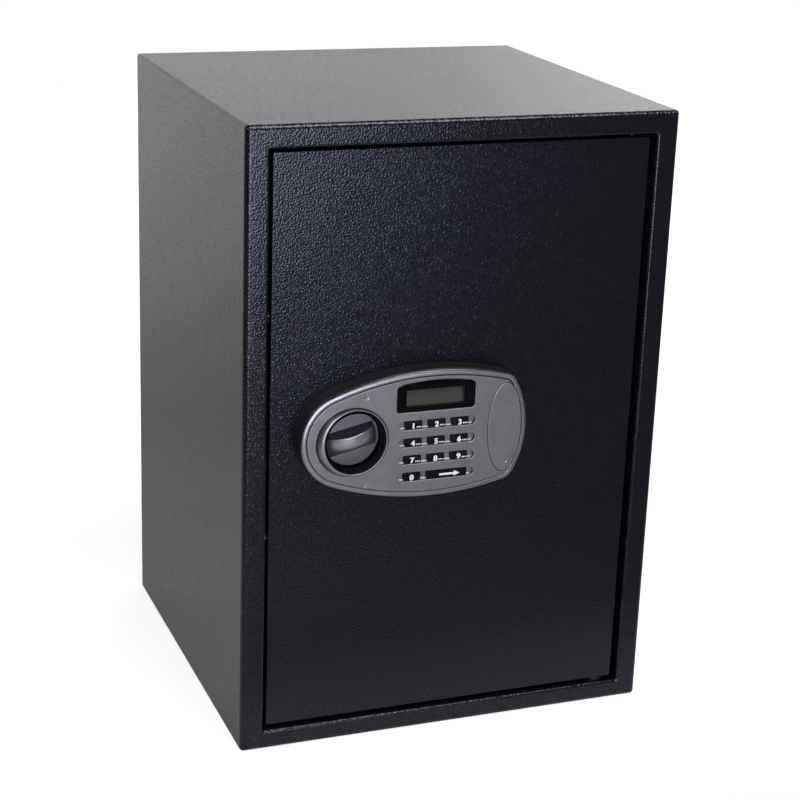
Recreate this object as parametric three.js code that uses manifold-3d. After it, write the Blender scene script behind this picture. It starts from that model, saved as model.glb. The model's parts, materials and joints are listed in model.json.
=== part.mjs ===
// Free-standing security safe: folded steel cabinet, hung door, bolt work, digital lock panel.
// Millimetres, +Z up, the door faces -Y, origin under the middle of the cabinet's footprint.
import * as THREE from "three";
import { mergeVertices } from "three/addons/utils/BufferGeometryUtils.js";
import Module from "manifold-3d";

const wasm = await Module();
wasm.setup();

// Cabinet
const WIDTH = 348;
const DEPTH = 332;
const HEIGHT = 500;
const SHEET = 2;
const EDGE_BEND = 2.5;
const FRONT_BEND = 3;
const FRONT = -DEPTH / 2;
const BACK = DEPTH / 2;
const FRAME_SIDE = 18.5;
const FRAME_BASE = 16;
const FRAME_HEAD = 17.5;
const OPENING_HALF = WIDTH / 2 - FRAME_SIDE;
const OPENING_LOW = FRAME_BASE;
const OPENING_HIGH = HEIGHT - FRAME_HEAD;
const OPENING_CHAMFER = 1.2;
const LIP_DEPTH = 22;
const LIP_BACK = FRONT + LIP_DEPTH;
const WELD_GAP = 0.3;
const REAR_FLANGE = 14;
const FLOOR_MAT_T = 2;
const FLOOR_MAT_MARGIN = 4;
const ANCHOR_R = 6;
const ANCHOR_HALF = 85;
const ANCHOR_Y = 20;

// Door plate, set back in the opening
const DOOR_RECESS = 4.5;
const DOOR_T = 4;
const LOCK_GAP = 3.5;
const HINGE_GAP = 4;
const SILL_GAP = 3;
const DOOR_FACE = FRONT + DOOR_RECESS;
const DOOR_REAR = DOOR_FACE + DOOR_T;
const DOOR_LEFT = -OPENING_HALF + LOCK_GAP;
const DOOR_RIGHT = OPENING_HALF - HINGE_GAP;
const DOOR_LOW = OPENING_LOW + SILL_GAP;
const DOOR_HIGH = OPENING_HIGH - SILL_GAP;

// Hinge pins inside the lips, behind the door plate
const PIN_R = 4;
const PIN_RUN = 0.3;
const PIVOT_INSET = 12;
const PIVOT_DEPTH = 5;
const PIVOT_X = DOOR_RIGHT - PIVOT_INSET;
const PIVOT_Y = DOOR_REAR + PIVOT_DEPTH;
const BLOCK_H = 30;
const BLOCK_HALF = 9.5;
const BLOCK_T = 10.5;
const PIN_INSET = 3;
const PIN_REACH = 6;

// Box welded behind the door plate, closed by a screwed cover
const PAN_T = 1.5;
const PAN_MARGIN = 5;
const PAN_DEPTH = 35.5;
const PAN_LEFT = DOOR_LEFT + PAN_MARGIN;
const PAN_RIGHT = PIVOT_X - BLOCK_HALF - PAN_MARGIN;
const PAN_LOW = DOOR_LOW + PAN_MARGIN;
const PAN_HIGH = DOOR_HIGH - PAN_MARGIN;
const PAN_REAR = DOOR_REAR + PAN_DEPTH;
const PAN_RETURN = 12;
const COVER_T = 1.5;
const COVER_REAR = PAN_REAR + COVER_T;

// Lock axis height shared by knob, override lock and bolt work, and the row of places on it
const LOCK_Z = HEIGHT / 2 + 10;
const ANCHOR_Z = LOCK_Z + 90;
const BACKSET = 60.5;
const KNOB_X = DOOR_LEFT + BACKSET;
const OVERRIDE_X = KNOB_X + 124;

// Bolt work
const BOLT_TRAVEL = 15;
const BOLT_R = 9;
const BOLT_SPREAD = 180;
const BOLT_L = 37;
const BOLT_TIP = DOOR_LEFT + 1;
const BOLT_Y = LIP_BACK + BOLT_R + 1;
const BOLT_FIT = 0.3;
const BUSH_R = 10.5;
const CARRIAGE_T = 3;
const CARRIAGE_FRONT = DOOR_REAR + 13;
const CARRIAGE_REAR = CARRIAGE_FRONT + CARRIAGE_T;
const CARRIAGE_LEFT = BOLT_TIP + BOLT_L;
const CARRIAGE_END = 20;
const CARRIAGE_HALF_H = BOLT_SPREAD / 2 + CARRIAGE_END;
const CARRIAGE_SLIP = 0.5;
const SPINE_W = 34;
const EAR_HALF = 13;
const ARM_OVERLAP = 14;
const STUD_R = 3;
const STUD_INSET = 10;
const STUD_X = CARRIAGE_LEFT + STUD_INSET;
const STUD_SPREAD = 110;
const BOTH = [1, -1];

// Knob crank: swings evenly either side of straight down while the bolts travel
const CRANK_SWING = THREE.MathUtils.degToRad(28);
const CRANK_R = BOLT_TRAVEL / 2 / Math.sin(CRANK_SWING);
const CRANK_PIN_R = 2.5;
const CRANK_DX = BOLT_TRAVEL / 2;
const CRANK_DZ = -CRANK_R * Math.cos(CRANK_SWING);

// Solenoid whose plunger drops behind the end of the carriage arm
const PLUNGER_R = 4;
const PLUNGER_DROP = 9;
const PLUNGER_CLEAR = 6.5;
const LOCK_PLAY = 4.5;
const PLUNGER_X = KNOB_X + 85.5;
const ARM_END = PLUNGER_X + BOLT_TRAVEL - PLUNGER_R - 0.5 - LOCK_PLAY;
const ARM_TOP = LOCK_Z + 2;
const ARM_H = 28;
const PLUNGER_Y = (CARRIAGE_FRONT + CARRIAGE_REAR) / 2;
const PLUNGER_TIP = ARM_TOP + PLUNGER_CLEAR;
const CAM_TIP_R = 5;
const COLLAR_Z = LOCK_Z + CAM_TIP_R + 1 + PLUNGER_DROP;
const COLLAR_R = 7;
const SOLENOID_LOW = COLLAR_Z + 6;
const COIL_H = 24;
const YOKE_T = 1.5;

// Override lock: its cam reaches under the plunger's collar
const BARREL_R = 9.5;
const PLUG_R = 6;
const TAIL_R = 3.9;
const CYLINDER_REAR = CARRIAGE_REAR;
const CAM_FRONT = CYLINDER_REAR + 0.5;
const CAM_T = 2.5;
const CAM_REACH = OVERRIDE_X - PLUNGER_X - COLLAR_R - CAM_TIP_R + 2.5;

// Lock panel: egg outline made of four tangent arcs, wide end at the knob
const PANEL_Z = LOCK_Z;
const PANEL_T = 20;
const PANEL_FACE = DOOR_FACE - PANEL_T;
const FACE_T = 3;
const FACE_REAR = PANEL_FACE + FACE_T;
const HOUSING_WALL = 2.5;
const HOUSING_FLOOR = 2;
const END_R = 38.5;
const END_X = KNOB_X - 3.5;
const FLANK_R = 232.5;
const FLANK_X = KNOB_X + 65.5;
const NOSE_R = 77.2;
const NOSE_X = KNOB_X + 64.3;
const CORNER_R = 8;
const RIM_ROUND = 3;
const GROOVE_IN = 4;
const GROOVE_W = 0.9;
const GROOVE_D = 0.5;
const DIMPLE_R = 1.8;
const DIMPLE_X = KNOB_X + 9.1;
const DIMPLE_OUT = END_R - 3;
const DIMPLE_DROP = 1.8;

// Knob in its sunken well with a raised collar, round at the crest and oval at the foot
const WELL_R = 22.9;
const WELL_WALL = 1.4;
const WELL_FIT = 0.25;
const COLLAR_LAND = 0.8;
const COLLAR_RISE = 4.5;
const FOOT_A = WELL_R + 6.3;
const FOOT_B = WELL_R + 4.1;
const FOOT_DX = -0.85;
const FOOT_DZ = -1.1;
const COLLAR_CREST = PANEL_FACE - COLLAR_RISE;
const KNOB_R = 21.5;
const KNOB_FRONT = PANEL_FACE + 7;
const KNOB_DEPTH = 8;
const SPINDLE_R = 5;
const GRIP_RISE = 16;
const GRIP_TILT = THREE.MathUtils.degToRad(13);
const GRIP_UPPER = 8.9;
const GRIP_LOWER = -10;
const GRIP_PEAK_X = -2;

// Display window, key slots and the oval cover of the override lock
const PAD_X = KNOB_X + 67.6;
const DISPLAY_X = PAD_X - 1.7;
const WINDOW_W = 64.2;
const WINDOW_LOW = LOCK_Z + 18.6;
const WINDOW_SHOULDER = WINDOW_LOW + 21.8;
const WINDOW_ARCH = 3.2;
const DISPLAY_W = 48.2;
const DISPLAY_H = 12.9;
const DISPLAY_Z = WINDOW_LOW + 11.4;
const LENS_FRONT = PANEL_FACE + 0.5;
const LENS_T = 2;
const SLOT_W = 62.8;
const SLOT_H = 7.3;
const ROW_PITCH = 14;
const ROW_TOP = LOCK_Z + 8.3;
const KEY_PITCH = 19.1;
const KEY_W = 13.8;
const KEY_H = 6.7;
const KEY_SUNK = 0.3;
const KEY_REAR = FACE_REAR + 2.5;
const KEY_TRAVEL = 1.2;
const MAT_FRONT = FACE_REAR + 0.3;
const MAT_T = 2;
const BOARD_FRONT = KEY_REAR + KEY_TRAVEL + 0.3;
const BOARD_T = 1.6;
const COVER_A = 14.2;
const COVER_B = 36.5;
const LID_T = 1.6;
const CYLINDER_FRONT = FACE_REAR + 3;

// Battery tray for four cells, its lid and the code button, on the inner cover
const CELL_R = 7.15;
const CELL_L = 50.2;
const CELL_COUNT = 4;
const CELL_PITCH = 15;
const TRAY_X = 0;
const TRAY_Z = LOCK_Z - 130;
const TRAY_END = 4.5;
const TRAY_SIDE = 2;
const TRAY_FLANGE = 4;
const TRAY_W = CELL_L + 2 * TRAY_END;
const TRAY_H = CELL_COUNT * CELL_PITCH + 2 * TRAY_SIDE;
const TRAY_D = 18;
const TRAY_WALL = 1.8;
const CELL_Y = PAN_REAR - TRAY_D + TRAY_WALL + CELL_R + WELD_GAP;
const LID_MARGIN = 4;
const LID_ROLL_R = 1.1;
const LID_PIN_R = 0.7;
const KNUCKLE_W = 3;
const LID_AXIS_Y = COVER_REAR + 0.25 + LID_ROLL_R;
const LID_AXIS_Z = TRAY_Z + TRAY_H / 2 + LID_MARGIN;
const BUTTON_X = PAN_RIGHT - 25;
const BUTTON_Z = LOCK_Z + 70;
const BUTTON_R = 5;

// Removable shelf on side rails
const SHELF_Z = LOCK_Z - 14;
const SHELF_T = 1.2;
const SHELF_LIP = 11;
const SHELF_FRONT = FRONT + 81;
const SHELF_BACK = BACK - REAR_FLANGE - 4;
const RAIL_T = 1.5;
const RAIL_DROP = 20;
const RAIL_LEDGE = 14;

// Colours as photographed, with roughness and metalness
const coat = [0x23262e, 0.62, 0.2];
const zinc = [0xa9acb0, 0.38, 0.9];
const bright = [0xd2d4d6, 0.22, 1];
const silver = [0x7b7b80, 0.42, 0.6];
const black = [0x131315, 0.5, 0];

// Curves are drawn to within this distance of the true arc
const SMOOTH = 0.09;

function assembly(name, parent, ...place) {
  const group = new THREE.Group();
  group.name = name;
  group.position.set(...place);
  if (parent) parent.add(group);
  return group;
}

const root = assembly("security_safe", null, 0, 0, 0);
const cabinet = assembly("cabinet", root, 0, 0, 0);
const door = assembly("door", root, 0, 0, 0);
const boltWork = assembly("bolt_work", door, 0, BOLT_Y, LOCK_Z);
const hinge = assembly("hinge", door, PIVOT_X, PIVOT_Y, 0);
const knobSet = assembly("knob_set", door, KNOB_X, 0, LOCK_Z);
const overrideLock = assembly("override_lock", door, OVERRIDE_X, 0, LOCK_Z);
const solenoid = assembly("solenoid", door, PLUNGER_X, PLUNGER_Y, PLUNGER_TIP);

function finish([color, roughness, metalness]) {
  return new THREE.MeshStandardMaterial({ color, roughness, metalness });
}

// Solid of a closed three.js geometry, with its faces outwards
function solid(geometry) {
  const bare = geometry.clone();
  bare.deleteAttribute("normal");
  bare.deleteAttribute("uv");
  const merged = mergeVertices(bare, 1e-4);
  const index = merged.index.array;
  const kept = [];
  for (let i = 0; i < index.length; i += 3) {
    const [a, b, c] = [index[i], index[i + 1], index[i + 2]];
    if (a !== b && b !== c && a !== c) kept.push(a, b, c);
  }
  const build = (triVerts) =>
    new wasm.Manifold(
      new wasm.Mesh({ numProp: 3, vertProperties: merged.attributes.position.array, triVerts }),
    );
  const made = build(new Uint32Array(kept));
  return made.volume() < 0 ? build(new Uint32Array(kept.reverse())) : made;
}

function join(...solids) {
  return solids.reduce((sum, next) => sum.add(next));
}

function cut(from, ...tools) {
  return tools.reduce((rest, tool) => rest.subtract(tool), from);
}

function part(parent, name, shape, look, ...place) {
  const mesh = shape.getMesh();
  const geometry = new THREE.BufferGeometry();
  geometry.setAttribute("position", new THREE.BufferAttribute(mesh.vertProperties, 3));
  geometry.setIndex(new THREE.BufferAttribute(mesh.triVerts, 1));
  const drawn = geometry.toNonIndexed();
  drawn.computeVertexNormals();
  const node = new THREE.Mesh(drawn, finish(look));
  node.name = name;
  if (place.length) node.position.set(...place);
  parent.add(node);
  return node;
}

// Box between two opposite corners
function box(x0, x1, y0, y1, z0, z1) {
  const shape = new THREE.BoxGeometry(x1 - x0, y1 - y0, z1 - z0);
  return solid(shape.translate((x0 + x1) / 2, (y0 + y1) / 2, (z0 + z1) / 2));
}

// Number of flats round a circle of this radius
function sidesFor(r) {
  return Math.max(16, 4 * Math.ceil(Math.PI / Math.acos(1 - SMOOTH / r) / 4));
}

// Round bars between two stations along an axis
function barY(x, z, r, y0, y1) {
  const bar = new THREE.CylinderGeometry(r, r, y1 - y0, sidesFor(r));
  return solid(bar.translate(x, (y0 + y1) / 2, z));
}

function barX(y, z, r, x0, x1) {
  const bar = new THREE.CylinderGeometry(r, r, x1 - x0, sidesFor(r)).rotateZ(Math.PI / 2);
  return solid(bar.translate((x0 + x1) / 2, y, z));
}

function barZ(x, y, r, z0, z1) {
  const bar = new THREE.CylinderGeometry(r, r, z1 - z0, sidesFor(r)).rotateX(Math.PI / 2);
  return solid(bar.translate(x, y, (z0 + z1) / 2));
}

// Profile of [radius, station] pairs turned about an axis
function turned(profile) {
  const widest = Math.max(...profile.map(([r]) => r));
  const line = profile.map(([r, station]) => new THREE.Vector2(r, station));
  return new THREE.LatheGeometry(line, sidesFor(widest));
}

function turnedY(x, z, profile) {
  return solid(turned(profile).translate(x, 0, z));
}

function turnedX(y, z, profile) {
  return solid(turned(profile).rotateZ(-Math.PI / 2).translate(0, y, z));
}

function turnedZ(x, y, profile) {
  return solid(turned(profile).rotateX(Math.PI / 2).translate(x, y, 0));
}

// Closed outline in x and z, run through arcs given as [x, z, radius, from, to]
function outline(arcs) {
  const points = arcs.flatMap(([x, z, r, from, to]) => {
    if (r === 0) return [new THREE.Vector2(x, z)];
    const steps = Math.max(2, Math.ceil(Math.abs(to - from) / (2 * Math.acos(1 - SMOOTH / r))));
    return Array.from({ length: steps + 1 }, (_, i) => {
      const angle = from + ((to - from) * i) / steps;
      return new THREE.Vector2(x + r * Math.cos(angle), z + r * Math.sin(angle));
    });
  });
  const apart = points.filter((p, i) => p.distanceTo(points.at(i - 1)) > 1e-3);
  return new THREE.Shape(apart);
}

function panel(x0, x1, z0, z1, r = 0) {
  const quarter = Math.PI / 2;
  return outline([
    [x1 - r, z0 + r, r, -quarter, 0],
    [x1 - r, z1 - r, r, 0, quarter],
    [x0 + r, z1 - r, r, quarter, 2 * quarter],
    [x0 + r, z0 + r, r, 2 * quarter, 3 * quarter],
  ]);
}

function ellipse(x, z, a, b) {
  return new THREE.Shape(new THREE.EllipseCurve(x, z, a, b).getPoints(48).slice(1));
}

function capsule(xa, za, ra, xb, zb, rb) {
  const along = Math.atan2(zb - za, xb - xa);
  return outline([
    [xb, zb, rb, along - Math.PI / 2, along + Math.PI / 2],
    [xa, za, ra, along + Math.PI / 2, along + 1.5 * Math.PI],
  ]);
}

// Outline given depth along the door's normal, or with its front edge rounded
function plate(shape, front, rear) {
  const made = new THREE.ExtrudeGeometry(shape, { depth: rear - front, bevelEnabled: false });
  return solid(made.rotateX(Math.PI / 2).translate(0, rear, 0));
}

function roundedPlate(shape, front, rear, round, steps = 3) {
  const made = new THREE.ExtrudeGeometry(shape, {
    depth: rear - front,
    bevelThickness: round,
    bevelSize: round,
    bevelOffset: -round,
    bevelSegments: steps,
  });
  made.rotateX(Math.PI / 2).translate(0, rear + round, 0);
  return solid(made).intersect(box(-WIDTH, WIDTH, front - 1, rear, -HEIGHT, 2 * HEIGHT));
}

// Ring-shaped wall between two outlines
function ring(outer, inner, front, rear) {
  return cut(plate(outer, front, rear), plate(inner, front - 1, rear + 1));
}

// Outline of the lock panel, drawn inwards by an inset
function egg(inset = 0) {
  const flankDrop = Math.sqrt((FLANK_R - END_R) ** 2 - (FLANK_X - END_X) ** 2);
  const base = NOSE_X - FLANK_X;
  const span = Math.hypot(base, flankDrop);
  const toFlank = FLANK_R - CORNER_R;
  const toNose = NOSE_R - CORNER_R;
  const reach = (toFlank ** 2 - toNose ** 2 + span ** 2) / (2 * span);
  const side = Math.sqrt(toFlank ** 2 - reach ** 2);
  const [ux, uz] = [base / span, flankDrop / span];
  const cornerX = FLANK_X + ux * reach + uz * side;
  const cornerZ = -flankDrop + uz * reach - ux * side;
  const flankEnd = Math.atan2(flankDrop, END_X - FLANK_X);
  const flankStart = Math.atan2(cornerZ + flankDrop, cornerX - FLANK_X);
  const noseEnd = Math.atan2(cornerZ, cornerX - NOSE_X);
  return outline([
    [NOSE_X, PANEL_Z, NOSE_R - inset, -noseEnd, noseEnd],
    [cornerX, PANEL_Z + cornerZ, CORNER_R - inset, noseEnd, flankStart],
    [FLANK_X, PANEL_Z - flankDrop, FLANK_R - inset, flankStart, flankEnd],
    [END_X, PANEL_Z, END_R - inset, flankEnd, 2 * Math.PI - flankEnd],
    [FLANK_X, PANEL_Z + flankDrop, FLANK_R - inset, -flankEnd, -flankStart],
    [cornerX, PANEL_Z - cornerZ, CORNER_R - inset, -flankStart, -noseEnd],
  ]);
}

// Display window with an arched top
function windowShape(inset = 0) {
  const half = WINDOW_W / 2 - inset;
  const low = WINDOW_LOW + inset;
  const shoulder = WINDOW_SHOULDER - inset;
  const r = 3 - inset;
  const archR = (half ** 2 + WINDOW_ARCH ** 2) / (2 * WINDOW_ARCH);
  const rise = Math.asin((half - r) / archR);
  const quarter = Math.PI / 2;
  return outline([
    [DISPLAY_X + half - r, low + r, r, -quarter, 0],
    [DISPLAY_X + half - r, shoulder - r, r, 0, quarter - rise],
    [DISPLAY_X, shoulder + WINDOW_ARCH - archR, archR, quarter - rise, quarter + rise],
    [DISPLAY_X - half + r, shoulder - r, r, quarter + rise, 2 * quarter],
    [DISPLAY_X - half + r, low + r, r, 2 * quarter, 3 * quarter],
  ]);
}

// Cabinet: one folded sheet with the door frame's face and its inner lip
function bodyShell() {
  const outside = panel(-WIDTH / 2, WIDTH / 2, 0, HEIGHT, EDGE_BEND);
  const sideView = panel(FRONT, 2 * BACK, 0, HEIGHT, FRONT_BEND);
  const topView = panel(-WIDTH / 2, WIDTH / 2, FRONT, 2 * BACK, FRONT_BEND);
  const inside = panel(-WIDTH / 2 + SHEET, WIDTH / 2 - SHEET, SHEET, HEIGHT - SHEET, EDGE_BEND - SHEET);
  const doorway = (grow) =>
    panel(-OPENING_HALF - grow, OPENING_HALF + grow, OPENING_LOW - grow, OPENING_HIGH + grow);
  const block = plate(outside, FRONT, BACK)
    .intersect(plate(sideView, -WIDTH, WIDTH).rotate([0, 0, 90]))
    .intersect(plate(topView, -2 * HEIGHT, HEIGHT).rotate([-90, 0, 0]));
  const cavity = plate(inside, FRONT + SHEET, BACK + 1);
  const lip = plate(doorway(SHEET), FRONT + SHEET, LIP_BACK);
  const sheet = cut(block, cut(cavity, lip), plate(doorway(0), FRONT - 1, BACK));
  const chamfer = new THREE.ExtrudeGeometry(doorway(OPENING_CHAMFER), {
    depth: 1,
    bevelThickness: OPENING_CHAMFER,
    bevelSize: OPENING_CHAMFER,
    bevelOffset: -OPENING_CHAMFER,
    bevelSegments: 1,
  });
  chamfer.rotateX(Math.PI / 2).translate(0, FRONT, 0);
  const anchors = [-1, 1].map((s) => barZ(s * ANCHOR_HALF, ANCHOR_Y, ANCHOR_R, -1, SHEET + 1));
  const pins = barZ(PIVOT_X, PIVOT_Y, PIN_R + PIN_RUN, OPENING_LOW - SHEET - 1, OPENING_HIGH + SHEET + 1);
  return cut(sheet, solid(chamfer), ...anchors, pins);
}

part(cabinet, "body_shell", bodyShell(), coat);

// Rear wall: a tray welded inside the back of the cabinet
function rearPanel() {
  const half = WIDTH / 2 - SHEET - WELD_GAP;
  const low = SHEET + WELD_GAP;
  const outer = panel(-half, half, low, HEIGHT - low, EDGE_BEND - SHEET);
  const inner = panel(-half + SHEET, half - SHEET, low + SHEET, HEIGHT - low - SHEET, 1);
  const tray = cut(plate(outer, BACK - REAR_FLANGE, BACK), plate(inner, FRONT, BACK - SHEET));
  return cut(tray, ...[-1, 1].map((s) => barY(s * ANCHOR_HALF, ANCHOR_Z, ANCHOR_R, 0, BACK + 1)));
}

part(cabinet, "rear_panel", rearPanel(), coat);

function floorMat() {
  const half = WIDTH / 2 - SHEET - FLOOR_MAT_MARGIN;
  return box(-half, half, LIP_BACK + 1, BACK - REAR_FLANGE - 2, SHEET, SHEET + FLOOR_MAT_T);
}

part(cabinet, "floor_mat", floorMat(), [0x1c1c1e, 0.95, 0]);

// Shelf with folded front and back edges, resting loose on two angle rails
function shelfRail(side) {
  const wall = WIDTH / 2 - SHEET - WELD_GAP;
  const leg = box(wall - RAIL_T, wall, SHELF_FRONT + 5, SHELF_BACK - 5, SHELF_Z - RAIL_DROP, SHELF_Z);
  const ledge = box(wall - RAIL_LEDGE, wall, SHELF_FRONT + 5, SHELF_BACK - 5, SHELF_Z - RAIL_T, SHELF_Z);
  const rail = join(leg, ledge);
  return side < 0 ? rail.mirror([1, 0, 0]) : rail;
}

function shelfTray() {
  const half = WIDTH / 2 - SHEET - WELD_GAP - 2.5;
  const top = box(-half, half, SHELF_FRONT, SHELF_BACK, SHELF_Z, SHELF_Z + SHELF_T);
  const lipHalf = half - RAIL_LEDGE - 2;
  const low = SHELF_Z - SHELF_LIP;
  const front = box(-lipHalf, lipHalf, SHELF_FRONT, SHELF_FRONT + SHELF_T, low, SHELF_Z + SHELF_T);
  const rear = box(-lipHalf, lipHalf, SHELF_BACK - SHELF_T, SHELF_BACK, low, SHELF_Z + SHELF_T);
  return join(top, front, rear);
}

part(cabinet, "shelf_rail_left", shelfRail(-1), coat);
part(cabinet, "shelf_rail_right", shelfRail(1), coat);
part(cabinet, "shelf", shelfTray(), coat);

// Door plate, drilled for the knob spindle, the panel's cable and the override lock
function doorPlate() {
  const slab = plate(panel(DOOR_LEFT, DOOR_RIGHT, DOOR_LOW, DOOR_HIGH, 1), DOOR_FACE, DOOR_REAR);
  return cut(
    slab,
    barY(KNOB_X, LOCK_Z, SPINDLE_R + 0.5, DOOR_FACE - 1, DOOR_REAR + 1),
    barY(PAD_X, LOCK_Z - 25, 6, DOOR_FACE - 1, DOOR_REAR + 1),
    barY(OVERRIDE_X, LOCK_Z, 10, DOOR_FACE - 1, DOOR_REAR + 1),
  );
}

// Box behind the door plate: four walls with a return flange that carries the cover
function doorPan() {
  const outer = panel(PAN_LEFT, PAN_RIGHT, PAN_LOW, PAN_HIGH, 2);
  const within = (t) => panel(PAN_LEFT + t, PAN_RIGHT - t, PAN_LOW + t, PAN_HIGH - t, 1);
  const walls = ring(outer, within(PAN_T), DOOR_REAR, PAN_REAR);
  const flange = ring(outer, within(PAN_RETURN), PAN_REAR - PAN_T, PAN_REAR);
  const bore = [
    [0, PAN_LEFT - 1],
    [BUSH_R + 0.2, PAN_LEFT - 1],
    [BUSH_R + 0.2, PAN_LEFT + 5],
    [0, PAN_LEFT + 5],
  ];
  const rows = BOTH.map((side) => LOCK_Z + (side * BOLT_SPREAD) / 2);
  const bores = rows.map((z) => turnedX(BOLT_Y, z, bore));
  const notches = rows.map((z) =>
    box(PAN_LEFT + PAN_T, PAN_LEFT + 20, BOLT_Y, PAN_REAR + 1, z - BUSH_R - 1, z + BUSH_R + 1),
  );
  return cut(join(walls, flange), ...bores, ...notches);
}

part(door, "door_plate", doorPlate(), coat);
part(door, "door_pan", doorPan(), coat);

// Hinge: a block on the door at each end carries a pin that turns in the lip
function hingeBlock() {
  const block = box(-BLOCK_HALF, BLOCK_HALF, DOOR_REAR - PIVOT_Y, DOOR_REAR - PIVOT_Y + BLOCK_T, 0, BLOCK_H);
  return cut(block, barZ(0, 0, PIN_R + 0.05, -1, BLOCK_H + 1));
}

function hingePin() {
  const length = BLOCK_H + PIN_INSET + PIN_REACH;
  return turnedZ(0, 0, [
    [0, 0],
    [PIN_R - 0.8, 0],
    [PIN_R, 0.8],
    [PIN_R, length - 0.8],
    [PIN_R - 0.8, length],
    [0, length],
  ]);
}

function hingeWasher() {
  const thick = SILL_GAP - 0.25;
  return cut(barZ(0, 0, 8, 0, thick), barZ(0, 0, PIN_R + PIN_RUN, -1, thick + 1));
}

part(hinge, "hinge_block_top", hingeBlock(), coat, 0, 0, DOOR_HIGH - BLOCK_H);
part(hinge, "hinge_block_bottom", hingeBlock(), coat, 0, 0, DOOR_LOW);
part(hinge, "hinge_pin_top", hingePin(), zinc, 0, 0, DOOR_HIGH - BLOCK_H - PIN_INSET);
part(hinge, "hinge_pin_bottom", hingePin(), zinc, 0, 0, DOOR_LOW - PIN_REACH);
part(cabinet, "hinge_washer", hingeWasher(), [0xd8d4c8, 0.5, 0], PIVOT_X, PIVOT_Y, OPENING_LOW);

// Live bolts, their guide bushes and the sliding carriage, about the lock height
function liveBolt() {
  return turnedX(0, 0, [
    [0, BOLT_TIP],
    [BOLT_R - 2, BOLT_TIP],
    [BOLT_R, BOLT_TIP + 2],
    [BOLT_R, CARRIAGE_LEFT],
    [0, CARRIAGE_LEFT],
  ]);
}

function boltBush() {
  const bore = BOLT_R + BOLT_FIT;
  return turnedX(0, 0, [
    [bore, PAN_LEFT - 1],
    [BUSH_R + 1, PAN_LEFT - 1],
    [BUSH_R + 1, PAN_LEFT],
    [BUSH_R, PAN_LEFT],
    [BUSH_R, PAN_LEFT + 10],
    [bore, PAN_LEFT + 10],
    [bore, PAN_LEFT - 1],
  ]);
}

function guideStud() {
  const shoulder = CARRIAGE_FRONT - CARRIAGE_SLIP;
  const head = CARRIAGE_REAR + CARRIAGE_SLIP;
  return turnedY(0, 0, [
    [0, DOOR_REAR],
    [2 * STUD_R, DOOR_REAR],
    [2 * STUD_R, shoulder],
    [STUD_R, shoulder],
    [STUD_R, head],
    [2 * STUD_R, head],
    [2 * STUD_R, head + 2.5],
    [0, head + 2.5],
  ]);
}

// Carriage: spine with an ear behind each bolt, guide slots, and an arm to the solenoid
function boltCarriage() {
  const [front, rear] = [CARRIAGE_FRONT - BOLT_Y, CARRIAGE_REAR - BOLT_Y];
  const through = (shape) => plate(shape, front - 1, rear + 1);
  const spineEnd = CARRIAGE_LEFT + SPINE_W;
  const spine = panel(CARRIAGE_LEFT, spineEnd, -CARRIAGE_HALF_H, CARRIAGE_HALF_H, 3);
  const arm = panel(spineEnd - ARM_OVERLAP, ARM_END, ARM_TOP - ARM_H - LOCK_Z, ARM_TOP - LOCK_Z);
  const ears = BOTH.map((side) => {
    const z = (side * BOLT_SPREAD) / 2;
    return box(CARRIAGE_LEFT, CARRIAGE_LEFT + CARRIAGE_T, front, BOLT_R, z - EAR_HALF, z + EAR_HALF);
  });
  const guideSlots = BOTH.map((side) => {
    const [z, r] = [(side * STUD_SPREAD) / 2, STUD_R + BOLT_FIT];
    return through(capsule(STUD_X, z, r, STUD_X + BOLT_TRAVEL, z, r));
  });
  const [x, r] = [KNOB_X + CRANK_DX, CRANK_PIN_R + 0.35];
  const crankSlot = through(capsule(x, -CRANK_R - 1, r, x, CRANK_DZ + 1, r));
  const sheet = join(plate(spine, front, rear), plate(arm, front, rear), ...ears);
  return cut(sheet, ...guideSlots, crankSlot);
}

part(boltWork, "bolt_carriage", boltCarriage(), zinc);
for (const side of BOTH) {
  const end = side > 0 ? "upper" : "lower";
  const row = (side * BOLT_SPREAD) / 2;
  part(boltWork, `live_bolt_${end}`, liveBolt(), bright, 0, 0, row);
  part(boltWork, `bolt_bush_${end}`, boltBush(), [0xe4e2dc, 0.5, 0], 0, 0, row);
  part(door, `guide_stud_${end}`, guideStud(), zinc, STUD_X, 0, LOCK_Z + (side * STUD_SPREAD) / 2);
}

// Solenoid: yoke, coil and the plunger with its lifting collar, above the plunger's tip
function solenoidYoke() {
  const [half, low] = [11, SOLENOID_LOW - PLUNGER_TIP];
  const top = low + COIL_H + 2 * YOKE_T;
  const mount = DOOR_REAR - PLUNGER_Y;
  const cheeks = box(-half, half, -9.5 - YOKE_T, 9, low, top);
  const window = box(-half - 1, half + 1, -9.5, 10, low + YOKE_T, top - YOKE_T);
  const foot = box(-half, half, mount, -9.5, low, low + 6);
  return cut(join(cut(cheeks, window), foot), barZ(0, 0, PLUNGER_R + 0.4, low - 1, top + 1));
}

function solenoidCoil() {
  const low = SOLENOID_LOW - PLUNGER_TIP + YOKE_T + WELD_GAP;
  const high = low + COIL_H - 2 * WELD_GAP;
  const bore = PLUNGER_R + 0.4;
  const [rim, winding, cheek] = [8.8, 8, 1.5];
  return turnedZ(0, 0, [
    [bore, low],
    [rim, low],
    [rim, low + cheek],
    [winding, low + cheek],
    [winding, high - cheek],
    [rim, high - cheek],
    [rim, high],
    [bore, high],
    [bore, low],
  ]);
}

function solenoidPlunger() {
  const collar = COLLAR_Z - PLUNGER_TIP;
  return turnedZ(0, 0, [
    [0, 0],
    [PLUNGER_R, 0],
    [PLUNGER_R, collar],
    [COLLAR_R, collar],
    [COLLAR_R, collar + 2],
    [PLUNGER_R, collar + 2],
    [PLUNGER_R, 40],
    [0, 40],
  ]);
}

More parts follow.
